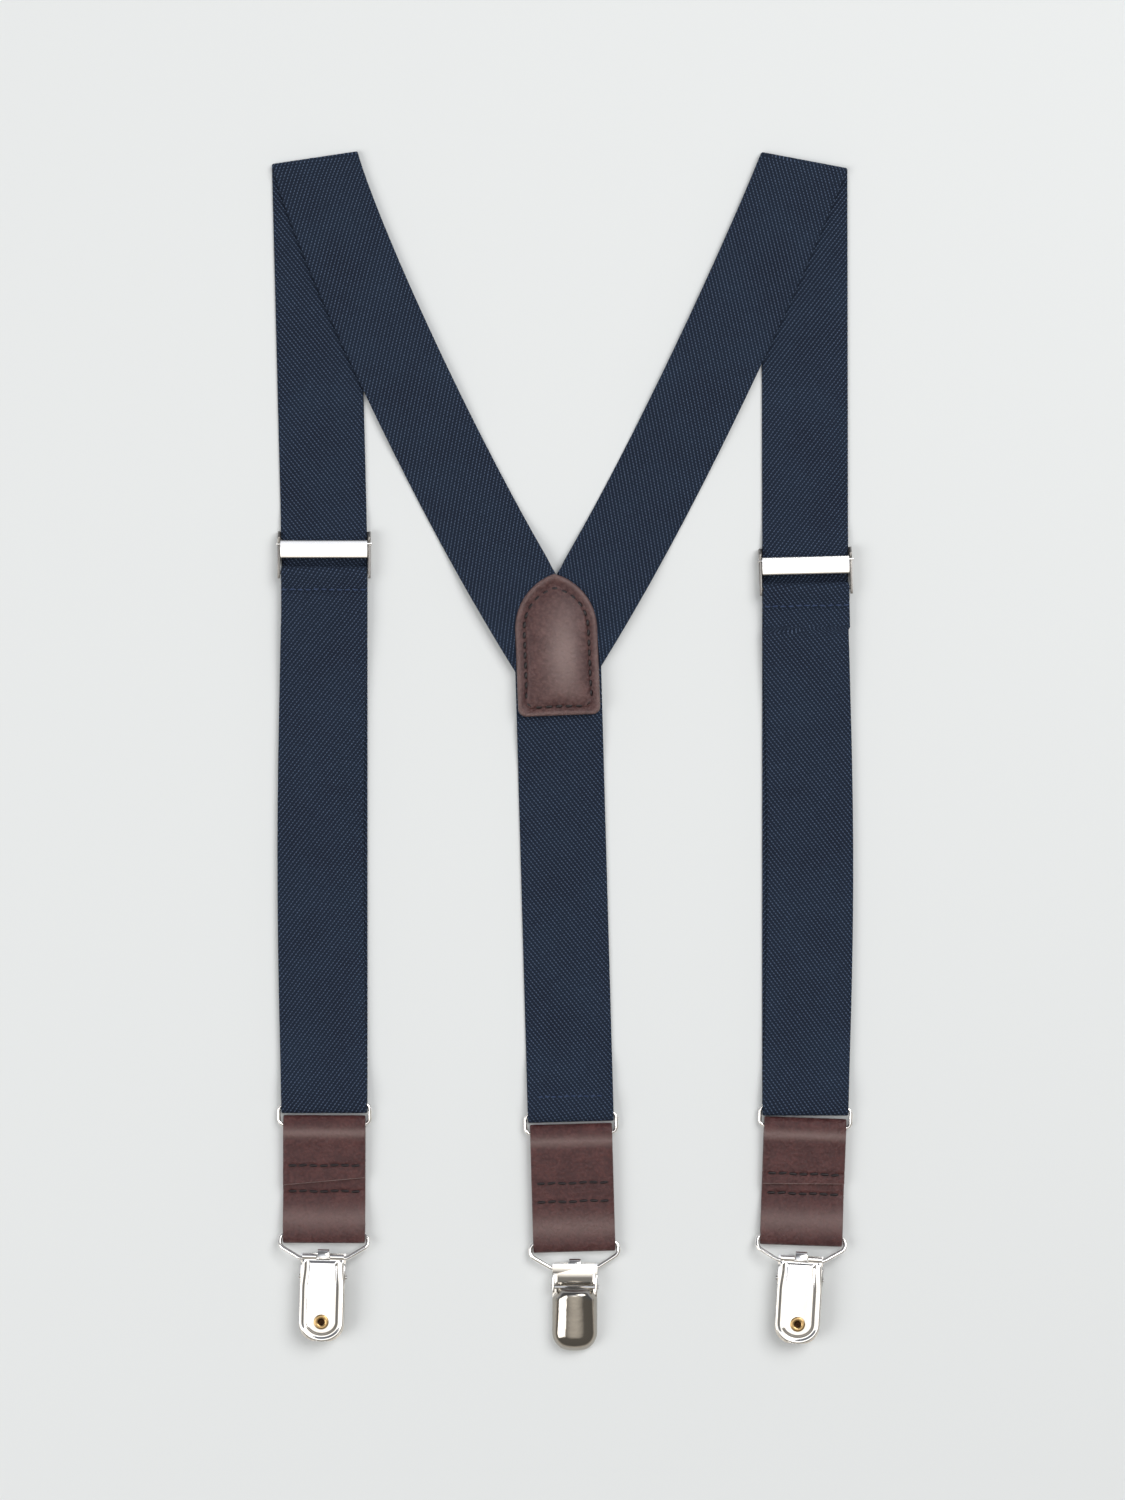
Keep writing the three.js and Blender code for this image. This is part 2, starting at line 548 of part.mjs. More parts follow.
// The wire that joins tab and clip: a straight bar in the tab, and a short neck in the clip.
function clipLoop() {
  const half = LEATHER.width / 2 + LOOP.endClearance;
  const neck = -LOOP.length;
  const corners = [
    at(-half, 0, 0), at(-half, neck + LOOP.flare, 0), at(-LOOP.neck, neck, 0),
    at(LOOP.neck, neck, 0), at(half, neck + LOOP.flare, 0), at(half, 0, 0),
  ];
  const radii = [LOOP.corner, LOOP.bend, LOOP.neckBend, LOOP.neckBend, LOOP.bend, LOOP.corner];
  return wireLoop(corners, radii, LOOP.wire, 64);
}

// ---------------------------------------------------------------- clip

// The clip is drawn about the wire in its top, with its front towards +Z.
const EAR_INSIDE = CLIP.width / 2 - CLIP.sheet;
const SHEET_INSIDE = LOOP.wire / 2 + GAP;
const SHEET_OUTSIDE = SHEET_INSIDE + CLIP.sheet;
const PANEL_FACE = -SHEET_OUTSIDE - CLIP.panelRise;
const PAD_FACE = -SHEET_INSIDE + GAP + CLIP.padThickness;
const RIVET_BACK = PANEL_FACE - GAP - CLIP.rivetHeadThickness;

// Straight sides, a half-oval foot, and a notch in the top edge for the bridge's tongue.
function backPlateShape() {
  const half = CLIP.width / 2;
  const top = half - CLIP.taper;
  const ovalAt = -CLIP.length + CLIP.foot;
  const notch = CLIP.tongueWidth / 2 + CLIP.notchClearance;
  const shape = new THREE.Shape();
  shape.moveTo(-notch, SHEET_OUTSIDE);
  shape.lineTo(-top, SHEET_OUTSIDE);
  shape.lineTo(-top, -CLIP.taperFrom);
  shape.lineTo(-half, -CLIP.taperTo);
  shape.lineTo(-half, ovalAt);
  shape.absellipse(0, ovalAt, half, CLIP.foot, Math.PI, 2 * Math.PI, false);
  shape.lineTo(half, -CLIP.taperTo);
  shape.lineTo(top, -CLIP.taperFrom);
  shape.lineTo(top, SHEET_OUTSIDE);
  shape.lineTo(notch, SHEET_OUTSIDE);
  shape.lineTo(notch, -CLIP.notchDepth);
  shape.lineTo(-notch, -CLIP.notchDepth);
  return shape;
}

function panelShape() {
  const half = CLIP.width / 2 - CLIP.panelInset;
  const ovalAt = -CLIP.length + CLIP.panelMargin + CLIP.panelFoot;
  const shape = new THREE.Shape();
  shape.moveTo(-half, -CLIP.panelTop);
  shape.lineTo(-half, ovalAt);
  shape.absellipse(0, ovalAt, half, CLIP.panelFoot, Math.PI, 2 * Math.PI, false);
  shape.lineTo(half, -CLIP.panelTop);
  return shape;
}

function rivetBore(low, high) {
  const length = high - low;
  return new THREE.CylinderGeometry(CLIP.rivetBarrel + GAP, CLIP.rivetBarrel + GAP, length, 20)
    .rotateX(Math.PI / 2).translate(0, -CLIP.rivetDrop, (low + high) / 2);
}

function backPlate() {
  const flat = plate(backPlateShape(), -SHEET_OUTSIDE, -SHEET_INSIDE);
  const panel = plate(panelShape(), PANEL_FACE, -SHEET_OUTSIDE + CLIP.weld);
  const earLength = CLIP.earBottom - CLIP.earTop;
  const earHeight = CLIP.earHeight + SHEET_OUTSIDE;
  const earAt = -(CLIP.earTop + CLIP.earBottom) / 2;
  const ears = [-1, 1].map((hand) => block(CLIP.sheet, earLength, earHeight,
    hand * (CLIP.width - CLIP.sheet) / 2, earAt, CLIP.earHeight - earHeight / 2));
  const feet = [-1, 1].map((hand) => block(CLIP.earFoot, earLength, CLIP.sheet,
    hand * (CLIP.width - CLIP.earFoot) / 2, earAt, -SHEET_INSIDE - CLIP.sheet / 2));
  const pinHoles = crossBar(CLIP.pin + 2 * GAP, CLIP.width + 2, -CLIP.pinDrop, CLIP.pinHeight);
  return joinAndCut([flat, panel, ...ears, ...feet], [pinHoles, rivetBore(PANEL_FACE - 1, 0)]);
}

// The front cross plate, with a tongue bent over the wire into the back plate's notch.
function bridge() {
  const half = CLIP.width / 2;
  const waist = EAR_INSIDE - CLIP.waistClearance;
  const front = plate(outline([
    [-waist, -CLIP.bridgeDrop], [waist, -CLIP.bridgeDrop],
    [waist, -CLIP.waistAt], [half, -CLIP.waistAt],
    [half, SHEET_OUTSIDE], [-half, SHEET_OUTSIDE],
    [-half, -CLIP.waistAt], [-waist, -CLIP.waistAt],
  ]), SHEET_INSIDE, SHEET_OUTSIDE);
  const ply = SHEET_INSIDE + CLIP.sheet / 2;
  const out = at(0, CLIP.tongueReach - CLIP.sheet / 2, 0);
  const tongueHalf = at(CLIP.tongueWidth / 2, 0, 0);
  const turn = hairpin(at(0, 0, 0), out, at(0, 0, -ply), at(0, 0, 0), 10);
  const stations = [at(0, -1, ply), ...turn].map((middle) => ({ middle, half: tongueHalf }));
  const tongue = band(stations, CLIP.sheet);
  return joinAndCut([front, tongue]);
}

function jawPad() {
  const half = CLIP.width / 2 - CLIP.padInset;
  const ovalAt = -CLIP.padTop - CLIP.padLength + CLIP.padFoot;
  const shape = new THREE.Shape();
  shape.moveTo(half, -CLIP.padTop);
  shape.lineTo(-half, -CLIP.padTop);
  shape.lineTo(-half, ovalAt);
  shape.absellipse(0, ovalAt, half, CLIP.padFoot, Math.PI, 2 * Math.PI, false);
  const padBack = PAD_FACE - CLIP.padThickness;
  return joinAndCut([plate(shape, padBack, PAD_FACE)], [rivetBore(padBack - 1, PAD_FACE + 1)]);
}

// A hollow rivet: a barrel with a head rolled over at each end.
function rivet() {
  const inner = PAD_FACE + GAP + CLIP.rivetHeadThickness;
  const head = CLIP.rivetHeadThickness;
  const innerHead = CLIP.rivetHead - CLIP.rivetInnerStep;
  const profile = [
    [CLIP.rivetHole, RIVET_BACK], [CLIP.rivetHead, RIVET_BACK], [CLIP.rivetHead, RIVET_BACK + head],
    [CLIP.rivetBarrel, RIVET_BACK + head], [CLIP.rivetBarrel, inner - head],
    [innerHead, inner - head], [innerHead, inner], [CLIP.rivetHole, inner],
    [CLIP.rivetHole, RIVET_BACK],
  ].map(([radius, height]) => new THREE.Vector2(radius, height));
  return new THREE.LatheGeometry(profile, 24).rotateX(Math.PI / 2).translate(0, -CLIP.rivetDrop, 0);
}

// A domed cover that swings on the clip's pin. Its section is a rounded arch between two rims,
// and its foot closes down in a half oval. The toe under the pin grips the cloth.
function clipLever() {
  const surface = (inset) => (u, v) => {
    const run = (LEVER.length - inset) * v;
    const widen = ease(run, LEVER.widenFrom, LEVER.widenTo);
    const intoTip = Math.max(run - LEVER.length + LEVER.tip + inset, 0) / LEVER.tip;
    const tipRound = Math.sqrt(1 - intoTip * intoTip);
    const full = mix(EAR_INSIDE - LEVER.earClearance, CLIP.width / 2, widen);
    const half = mix(LEVER.tipHalf, full, tipRound) - inset;
    const climb = mix(LEVER.topCrown, 1, ease(run, 0, LEVER.rise));
    const intoFall = Math.max(run - LEVER.fallFrom, 0) / LEVER.fall;
    const crown = (LEVER.crown - LEVER.rim) * climb * Math.sqrt(1 - intoFall * intoFall) - inset;
    const turn = (u - 0.5) * Math.PI;
    const x = half * Math.sign(turn) * Math.abs(Math.sin(turn)) ** 0.8;
    const z = LEVER.rim + crown * Math.max(Math.cos(turn), 0) ** 0.7;
    return at(x, -LEVER.top - run, z);
  };
  const cover = shell(surface(0), surface(LEVER.sheet), 14, 20);
  const toeWidth = CLIP.width - 2 * LEVER.toeInset;
  const toe = block(toeWidth, LEVER.sheet, LEVER.toeHigh - LEVER.toeLow,
    0, -LEVER.toeAt, (LEVER.toeHigh + LEVER.toeLow) / 2);
  const pinHoles = crossBar(CLIP.pin + 2 * GAP, CLIP.width, -CLIP.pinDrop, CLIP.pinHeight);
  return joinAndCut([cover, toe], [pinHoles]);
}

function addClip(model, end, position, turn, faceUp) {
  const group = new THREE.Group();
  group.position.copy(position);
  group.rotation.set(0, faceUp ? 0 : Math.PI, radians(turn), 'ZXY');
  model.add(group);
  const pin = crossBar(CLIP.pin, CLIP.width + 2 * CLIP.pinEnd, -CLIP.pinDrop, CLIP.pinHeight);
  piece(group, `${end}_clip_back_plate`, backPlate(), nickel);
  piece(group, `${end}_clip_bridge`, bridge(), nickel);
  piece(group, `${end}_clip_jaw_pad`, jawPad(), plastic);
  piece(group, `${end}_clip_rivet`, rivet(), brass);
  piece(group, `${end}_clip_pin`, pin, nickel);
  piece(group, `${end}_clip_lever`, clipLever(), nickel);
  return group;
}

// Ring, tab, wire loop and clip in a chain, each turned a little in the plane of the table. The
// loop slopes up so that the clip lies on its rivet, or on its lever where it lies face down.
function addStrapEnd(model, end, ringAt, { ringTurn, tabTurn, loopTurn, clipTurn, faceUp }) {
  const placed = (position, pitch, turn) => {
    const group = new THREE.Group();
    group.position.copy(position);
    group.rotation.set(pitch, 0, radians(turn), 'ZXY');
    model.add(group);
    return group;
  };
  const along = (group, distance) => at(0, distance, 0).applyEuler(group.rotation).add(group.position);

  const ring = placed(ringAt.clone().setZ(RING_HEIGHT), 0, ringTurn);
  piece(ring, `${end}_ring`, ovalRing(), nickel);

  const tab = placed(along(ring, -RING.barSpacing / 2), 0, tabTurn);
  const facing = faceUp ? Math.PI : 0;
  piece(tab, `${end}_tab`, leatherTab().rotateY(facing), leather);

  const clipHeight = faceUp ? -RIVET_BACK : LEVER.crown;
  const slope = -Math.asin((clipHeight - RING_HEIGHT) / LOOP.length);
  const loop = placed(along(tab, -TAB.barSpacing), slope, loopTurn);
  piece(loop, `${end}_wire_loop`, clipLoop(), nickel);

  const clip = addClip(model, end, along(loop, -LOOP.length), clipTurn, faceUp);
  return {
    ringPivot: along(ring, RING.barSpacing / 2), tabPivot: tab.position,
    loopPivot: loop.position, clipPivot: clip.position,
    leverPivot: at(0, -CLIP.pinDrop, CLIP.pinHeight).applyEuler(clip.rotation).add(clip.position),
  };
}

// ---------------------------------------------------------------- the whole object

const model = new THREE.Group();
const pivots = {};

addYoke(model);
for (const [side, setting] of Object.entries(SIDES)) {
  const place = layOut(setting);
  piece(model, `${side}_strap`, shoulderStrap(place), webbing);
  piece(model, `${side}_tail`, adjustingTail(place, setting), webbing);
  const slider = addSlider(model, side, place, setting);
  pivots[side] = addStrapEnd(model, side, place.ringAt, ENDS[side]);
  pivots[side].sliderPivot = at(0, SLIDER.pivotRise, PIVOT_HEIGHT)
    .applyEuler(slider.rotation).add(slider.position);
}
pivots.back = addStrapEnd(model, 'back', addBackStrap(model), ENDS.back);

// Move the middle of the footprint to the origin, and give the places of the pivots there.
model.updateMatrixWorld(true);
const box = new THREE.Box3().setFromObject(model, true);
model.position.set(-(box.min.x + box.max.x) / 2, -(box.min.y + box.max.y) / 2, -box.min.z);
model.userData.pivots = Object.fromEntries(Object.entries(pivots).map(([end, places]) =>
  [end, Object.fromEntries(Object.entries(places).map(([name, place]) =>
    [name, place.clone().add(model.position).toArray()]))]));

export default model;
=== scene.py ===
# %% [markdown]
# # Suspenders, laid out flat
#
# A pair of Y-back suspenders lies on a pale table with its shoulders folded over. Elastic webbing,
# leather and bright metal each need their own way of modelling. The frame holds the bodies and
# joints, so every piece made here is placed in the frame's own coordinates; all but the front runs,
# the tails and the back strap ride on a body.

# %% Load the frame
import json
import math

import bpy
import numpy as np
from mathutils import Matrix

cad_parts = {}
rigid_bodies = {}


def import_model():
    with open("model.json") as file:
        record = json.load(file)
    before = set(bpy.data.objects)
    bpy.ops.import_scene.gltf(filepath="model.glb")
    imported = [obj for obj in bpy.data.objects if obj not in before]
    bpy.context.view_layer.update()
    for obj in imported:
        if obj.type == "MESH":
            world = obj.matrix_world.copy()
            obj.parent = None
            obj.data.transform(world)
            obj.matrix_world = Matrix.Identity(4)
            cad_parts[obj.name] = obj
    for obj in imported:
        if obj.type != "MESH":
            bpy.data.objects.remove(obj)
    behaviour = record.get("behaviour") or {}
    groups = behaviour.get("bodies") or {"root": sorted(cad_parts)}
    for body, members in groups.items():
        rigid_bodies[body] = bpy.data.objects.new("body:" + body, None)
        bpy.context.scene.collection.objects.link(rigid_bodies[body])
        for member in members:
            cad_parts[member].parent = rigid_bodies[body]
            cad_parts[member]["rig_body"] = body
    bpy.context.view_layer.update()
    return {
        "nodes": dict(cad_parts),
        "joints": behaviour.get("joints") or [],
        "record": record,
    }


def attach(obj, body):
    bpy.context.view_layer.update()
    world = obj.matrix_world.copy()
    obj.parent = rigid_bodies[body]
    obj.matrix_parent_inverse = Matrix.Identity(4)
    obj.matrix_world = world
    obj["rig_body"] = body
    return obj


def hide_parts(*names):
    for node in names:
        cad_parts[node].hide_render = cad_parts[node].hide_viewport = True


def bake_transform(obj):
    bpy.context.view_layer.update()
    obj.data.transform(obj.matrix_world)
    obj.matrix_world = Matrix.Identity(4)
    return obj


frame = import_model()
joints = {joint["name"]: joint for joint in frame["joints"]}

# %% [markdown]
# ## Sizes
#
# The shapes below repeat the sizes that the frame was drawn with, in millimetres, because the
# frame only holds finished surfaces. Everything is worked out in millimetres about the foot of
# the yoke patch, then moved by one offset and turned to metres as it goes into a mesh.

# %% Sizes in millimetres
MM = 0.001
GAP = 0.3
WEB_WIDTH, WEB_THICK = 35.0, 1.3
HIDE_WIDTH, HIDE_THICK = 33.4, 1.2
RING_WIRE, RING_SPACING, RING_BEND = 1.5, 8.2, 2.4
LOOP_WIRE, LOOP_LENGTH, LOOP_NECK, LOOP_FLARE, LOOP_BEND = 1.7, 10.3, 9.3, 5.2, 2.6
TAB_SPACING, TAB_REACH, TAB_CUT, TAB_OVERLAP, TAB_PINCH = 44.4, 3.8, 23.0, 9.0, 11.0
WEB_REACH, WEB_SETTLE, SEWN_PLY = 3.6, 24.0, 16.0
FOLD_DEPTH, FOLD_SETTLE = 1.4, 46.0
TAIL_HEAD, TAIL_FOLDED, TAIL_JOIN, TAIL_CLIMB = 26.0, 22.0, 12.0, 40.0
TAIL_BAR_DROP, TAIL_BAR = 9.3, 1.4
FOLD_OUT, FOLD_UP = 99.6, 226.4
FRONT_LENGTH, SLIDER_DROP, BACK_LENGTH = 389.0, 162.0, 165.7
YOKE_TURN, BACK_TURN = math.radians(2.2), math.radians(1.6)
SIDES = {
    "left": dict(hand=-1, rise=0.5, first=15.5, lean=4.0, slider=2.6, turn=0.0, bow=-1.6),
    "right": dict(hand=1, rise=-0.5, first=21.5, lean=0.3, slider=-3.0, turn=1.4, bow=2.0),
}
ENDS = {
    "left": dict(ring=0.5, tab=-0.2, loop=-0.4, clip=-1.6, face_up=False, rows=(-16.5, -27.1),
                 cut=5.3),
    "right": dict(ring=-2.0, tab=-2.0, loop=-1.8, clip=-3.4, face_up=False, rows=(-19.0, -27.1),
                  cut=1.5),
    "back": dict(ring=1.2, tab=1.6, loop=1.6, clip=-0.2, face_up=True, rows=(-20.0, -27.5),
                 cut=0.0),
}

# %% Heights of the layers above the table
LYING = WEB_THICK / 2
SECOND_PLY = LYING + WEB_THICK + GAP
RING_HEIGHT = WEB_THICK + GAP + RING_WIRE / 2
BACK_HEIGHT = 1.0 + GAP + WEB_THICK / 2
ARM_HEIGHT = BACK_HEIGHT + WEB_THICK + GAP
PATCH_HEIGHT = ARM_HEIGHT + WEB_THICK / 2 + GAP
TAIL_BAR_HEIGHT = SECOND_PLY + WEB_THICK / 2 + GAP + TAIL_BAR / 2
print("patch lies", round(PATCH_HEIGHT, 2), "mm above the table")

# %% [markdown]
# The drawing's origin is the foot of the patch, and the frame's is the middle of the footprint.
# One hinge is known in both, the left ring's, so the offset between the two comes from it.

# %% Where the drawing's origin lies in the frame
ring_x = -FOLD_OUT + SIDES["left"]["lean"]
ring_y = FOLD_UP + SIDES["left"]["rise"] - FRONT_LENGTH
turn = math.radians(ENDS["left"]["ring"])
known = np.array(joints["left_ring_hinge"]["pos_m"]) / MM
OFFSET = known - np.array([
    ring_x - math.sin(turn) * RING_SPACING / 2,
    ring_y + math.cos(turn) * RING_SPACING / 2,
    RING_HEIGHT,
])
print("offset", OFFSET.round(3))

# %% [markdown]
# ## Tools
#
# A surface here is a grid of points worked out as whole arrays. Three small helpers do the rest:
# one writes a mesh, one eases a value from 0 to 1, and one turns and moves points.

# %% Writing a mesh
def new_piece(name, points, faces, material, uv=None, smooth=True):
    """Makes a mesh object from points in millimetres and a list or array of faces.

    The points are moved by the offset and scaled to metres. uv holds one pair for each point.
    """
    mesh = bpy.data.meshes.new(name)
    place = (np.asarray(points, float) + OFFSET) * MM
    mesh.from_pydata(place.tolist(), [], [list(map(int, face)) for face in faces])
    mesh.validate()
    if uv is not None:
        corner = np.zeros(len(mesh.loops), np.int32)
        mesh.loops.foreach_get("vertex_index", corner)
        layer = mesh.uv_layers.new(name="weave")
        layer.data.foreach_set("uv", np.asarray(uv, np.float32)[corner].ravel())
    mesh.materials.append(material)
    mesh.polygons.foreach_set("use_smooth", np.full(len(mesh.polygons), smooth))
    mesh.update()
    made = bpy.data.objects.new(name, mesh)
    bpy.context.scene.collection.objects.link(made)
    return made


def grid_faces(rows, columns, wrap_rows=False, wrap_columns=False):
    """Quads between neighbours of a grid numbered row by row, closed round where asked."""
    i = np.arange(rows if wrap_rows else rows - 1)[:, None]
    j = np.arange(columns if wrap_columns else columns - 1)[None, :]
    down, right = (i + 1) % rows, (j + 1) % columns
    corners = [i * columns + j, down * columns + j, down * columns + right, i * columns + right]
    return np.stack([np.broadcast_to(c, (i.size, j.size)) for c in corners], -1).reshape(-1, 4)


# %% Easing, turning and placing
def ease(x, start, end):
    """0 before start and 1 after end, with a smooth S between: 3t^2 - 2t^3."""
    t = np.clip((np.asarray(x, float) - start) / (end - start), 0, 1)
    return t * t * (3 - 2 * t)


def turned(points, angle):
    """Points turned about the vertical by an angle in radians."""
    c, s = math.cos(angle), math.sin(angle)
    return np.asarray(points, float) @ np.array([[c, s, 0], [-s, c, 0], [0, 0, 1]])


def placed(points, origin, angle, pitch=0.0, roll=0.0):
    """Points rolled about Y, pitched about X, turned about Z, then moved to an origin."""
    points = np.asarray(points, float)
    c, s = math.cos(roll), math.sin(roll)
    points = points @ np.array([[c, 0, -s], [0, 1, 0], [s, 0, c]])
    c, s = math.cos(pitch), math.sin(pitch)
    points = points @ np.array([[1, 0, 0], [0, c, s], [0, -s, c]])
    return turned(points, angle) + origin


def unit(vectors):
    """Each vector divided by its own length."""
    return vectors / np.linalg.norm(vectors, axis=-1, keepdims=True)


# %% [markdown]
# ## Finishes
#
# A finish starts from the real material. Colours are written as sRGB hex values, as a maker would
# match them, and one function turns them to the linear values that shaders work in.

# %% Colours and shader nodes
def colour(hex_value):
    """An sRGB hex colour as linear red, green, blue and alpha."""
    parts = [int(hex_value[i:i + 2], 16) / 255 for i in (1, 3, 5)]
    linear = [p / 12.92 if p <= 0.04045 else ((p + 0.055) / 1.055) ** 2.4 for p in parts]
    return (*linear, 1.0)


def add_node(material, kind, inputs=None, **settings):
    """Adds one shader node. inputs maps a socket to a value, or to the output that feeds it."""
    tree = material.node_tree
    node = tree.nodes.new(kind)
    for name, value in settings.items():
        setattr(node, name, value)
    for socket, value in (inputs or {}).items():
        if isinstance(value, bpy.types.NodeSocket):
            tree.links.new(value, node.inputs[socket])
        else:
            node.inputs[socket].default_value = value
    return node


def new_finish(name, hex_value, **sockets):
    """A material with one Principled shader, its colour and its other sockets by name."""
    material = bpy.data.materials.new(name)
    material.use_nodes = True
    shader = material.node_tree.nodes["Principled BSDF"]
    shader.inputs["Base Color"].default_value = colour(hex_value)
    for socket, value in sockets.items():
        shader.inputs[socket.replace("_", " ")].default_value = value
    return material, shader


def link(material, output, shader, socket):
    """Joins an output to a socket of the shader."""
    material.node_tree.links.new(output, shader.inputs[socket])


# %% [markdown]
# ### Twill elastic webbing
#
# The straps are knitted elastic with a polyester face woven in a steep twill: fine slanting ribs
# about 1.4 mm apart, each with a thin lighter yarn that shows in short floats. The face is matt,
# with a faint sheen from loose fibres. The ribs follow the strap, so they read its own UV map,
# which holds millimetres across and along. Waves of the slanted distances give ribs and floats.

# %% Webbing
RIB_PITCH = 1.4
RIB_ANGLE = math.radians(38)
FLOAT_LENGTH = 1.05


def woven(name, dark, light):
    """Webbing finish: a thin light yarn on each rib, broken into floats, on a dark ground.

    With p = u cos a - v sin a across the ribs and q along them, the yarn is the top of
    sin(2 pi p / pitch), and the floats are the top of sin(2 pi q / float + p).
    """
    material, shader = new_finish(name, dark, Roughness=0.85, Sheen_Weight=0.12,
                                  Sheen_Roughness=0.4, Specular_IOR_Level=0.2)
    shader.inputs["Sheen Tint"].default_value = colour("#7f93b5")
    uv = add_node(material, "ShaderNodeUVMap", uv_map="weave").outputs["UV"]

    def wave(length, angle, shake, low, high):
        """0 to 1 across a wave of the given length in mm, with its phase shaken by a noise."""
        turns = 2 * math.pi / length
        aim = (turns * math.cos(angle), -turns * math.sin(angle), 0)
        phase = add_node(material, "ShaderNodeVectorMath", {0: uv, 1: aim},
                         operation="DOT_PRODUCT").outputs["Value"]
        yarn = add_node(material, "ShaderNodeTexNoise", {"Vector": uv, "Scale": 1.1,
                        "Detail": 2.0}).outputs["Fac"]
        shaken = add_node(material, "ShaderNodeMath", {0: yarn, 1: shake, 2: phase},
                          operation="MULTIPLY_ADD").outputs[0]
        sine = add_node(material, "ShaderNodeMath", {0: shaken}, operation="SINE").outputs[0]
        return add_node(material, "ShaderNodeMapRange", {"Value": sine, "From Min": low,
                        "From Max": high}, interpolation_type="SMOOTHSTEP").outputs[0]

    rib = wave(RIB_PITCH, RIB_ANGLE, 1.6, -0.5, 1.0)
    thread = wave(RIB_PITCH, RIB_ANGLE, 1.6, 0.35, 1.0)
    floats = wave(FLOAT_LENGTH, RIB_ANGLE + math.pi / 2 - 0.5, 3.0, -0.75, 0.45)
    fuzz = add_node(material, "ShaderNodeTexNoise", {"Vector": uv, "Scale": 2.6, "Detail": 4.0,
                    "Roughness": 0.7}).outputs["Fac"]
    uneven = add_node(material, "ShaderNodeMapRange", {"Value": fuzz, "From Min": 0.34,
                      "From Max": 0.66, "To Min": 0.35, "To Max": 1.25}).outputs[0]
    broken = add_node(material, "ShaderNodeMath", {0: thread, 1: floats},
                      operation="MULTIPLY").outputs[0]
    tone = add_node(material, "ShaderNodeMath", {0: broken, 1: uneven}, operation="MULTIPLY",
                    use_clamp=True).outputs[0]
    worn = add_node(material, "ShaderNodeTexNoise", {"Vector": uv, "Scale": 0.05,
                    "Detail": 2.0}).outputs["Fac"]
    ground = add_node(material, "ShaderNodeMix", {0: worn, 6: colour(dark),
                      7: colour("#1d2939")}, data_type="RGBA").outputs[2]
    mixed = add_node(material, "ShaderNodeMix", {0: tone, 6: ground, 7: colour(light)},
                     data_type="RGBA").outputs[2]
    link(material, mixed, shader, "Base Color")
    height = add_node(material, "ShaderNodeMath", {0: tone, 1: 0.5, 2: rib},
                      operation="MULTIPLY_ADD").outputs[0]
    bump = add_node(material, "ShaderNodeBump", {"Height": height, "Strength": 0.7,
                    "Distance": 0.22 * MM})
    link(material, bump.outputs[0], shader, "Normal")
    return material


webbing = woven("navy twill elastic webbing", "#121827", "#56667f")
print(webbing.name, "ribs every", RIB_PITCH, "mm")

# %% [markdown]
# ### Leather
#
# The patch and tabs are cowhide, dyed brown with a plum cast and lightly polished. Its grain is a
# fine pebble, with bumps about 1.2 mm across and darker creases. The patch's rim and the tab's cut
# end show paler. A paler brown is also painted on as a highlight, on the padding and over the tab's
# bends where the light would catch them. The mesh carries a number from 0 to 1 that mixes in the
# paler brown.

# %% Leather
def hide(name, dark, light, worn, roughness):
    """Leather finish: pebbled grain in round cells, and a paler tone for edges and painted
    highlights.
    """
    material, shader = new_finish(name, dark, Roughness=roughness, Coat_Weight=0.15,
                                  Coat_Roughness=0.28, Specular_IOR_Level=0.42)
    here = add_node(material, "ShaderNodeTexCoord").outputs["Object"]
    pebbles = add_node(material, "ShaderNodeTexVoronoi", {"Vector": here, "Randomness": 1.0,
                       "Scale": 1 / (1.25 * MM)}, feature="SMOOTH_F1").outputs["Distance"]
    fine = add_node(material, "ShaderNodeTexNoise", {"Vector": here, "Scale": 1 / (0.45 * MM),
                    "Detail": 3.0, "Roughness": 0.65}).outputs["Fac"]
    blotch = add_node(material, "ShaderNodeTexNoise", {"Vector": here, "Scale": 1 / (6 * MM),
                      "Detail": 5.0, "Roughness": 0.7}).outputs["Fac"]
    patchy = add_node(material, "ShaderNodeMapRange", {"Value": blotch, "From Min": 0.3,
                      "From Max": 0.7, "To Min": 0.35, "To Max": 1.15}).outputs[0]
    share = add_node(material, "ShaderNodeMath", {0: pebbles, 1: -1.1, 2: patchy},
                     operation="MULTIPLY_ADD", use_clamp=True).outputs[0]
    dyed = add_node(material, "ShaderNodeMix", {0: share, 6: colour(dark), 7: colour(light)},
                    data_type="RGBA").outputs[2]
    # The paler tone marks the pale edges and the painted highlights on the padding and the bends.
    wear_and_highlight = add_node(material, "ShaderNodeAttribute", attribute_name="wear_and_highlight").outputs["Fac"]
    toned = add_node(material, "ShaderNodeMix", {0: wear_and_highlight, 6: dyed, 7: colour(worn)},
                     data_type="RGBA").outputs[2]
    link(material, toned, shader, "Base Color")
    height = add_node(material, "ShaderNodeMath", {0: pebbles, 1: -1.4, 2: fine},
                      operation="MULTIPLY_ADD").outputs[0]
    bump = add_node(material, "ShaderNodeBump", {"Height": height, "Strength": 1.0,
                    "Distance": 0.5 * MM})
    link(material, bump.outputs[0], shader, "Normal")
    return material


leather = hide("plum brown cowhide", "#482b2a", "#6d4d49", "#96807b", 0.38)
tab_leather = hide("red brown cowhide", "#431f1e", "#613633", "#96807b", 0.34)
print(leather.name)
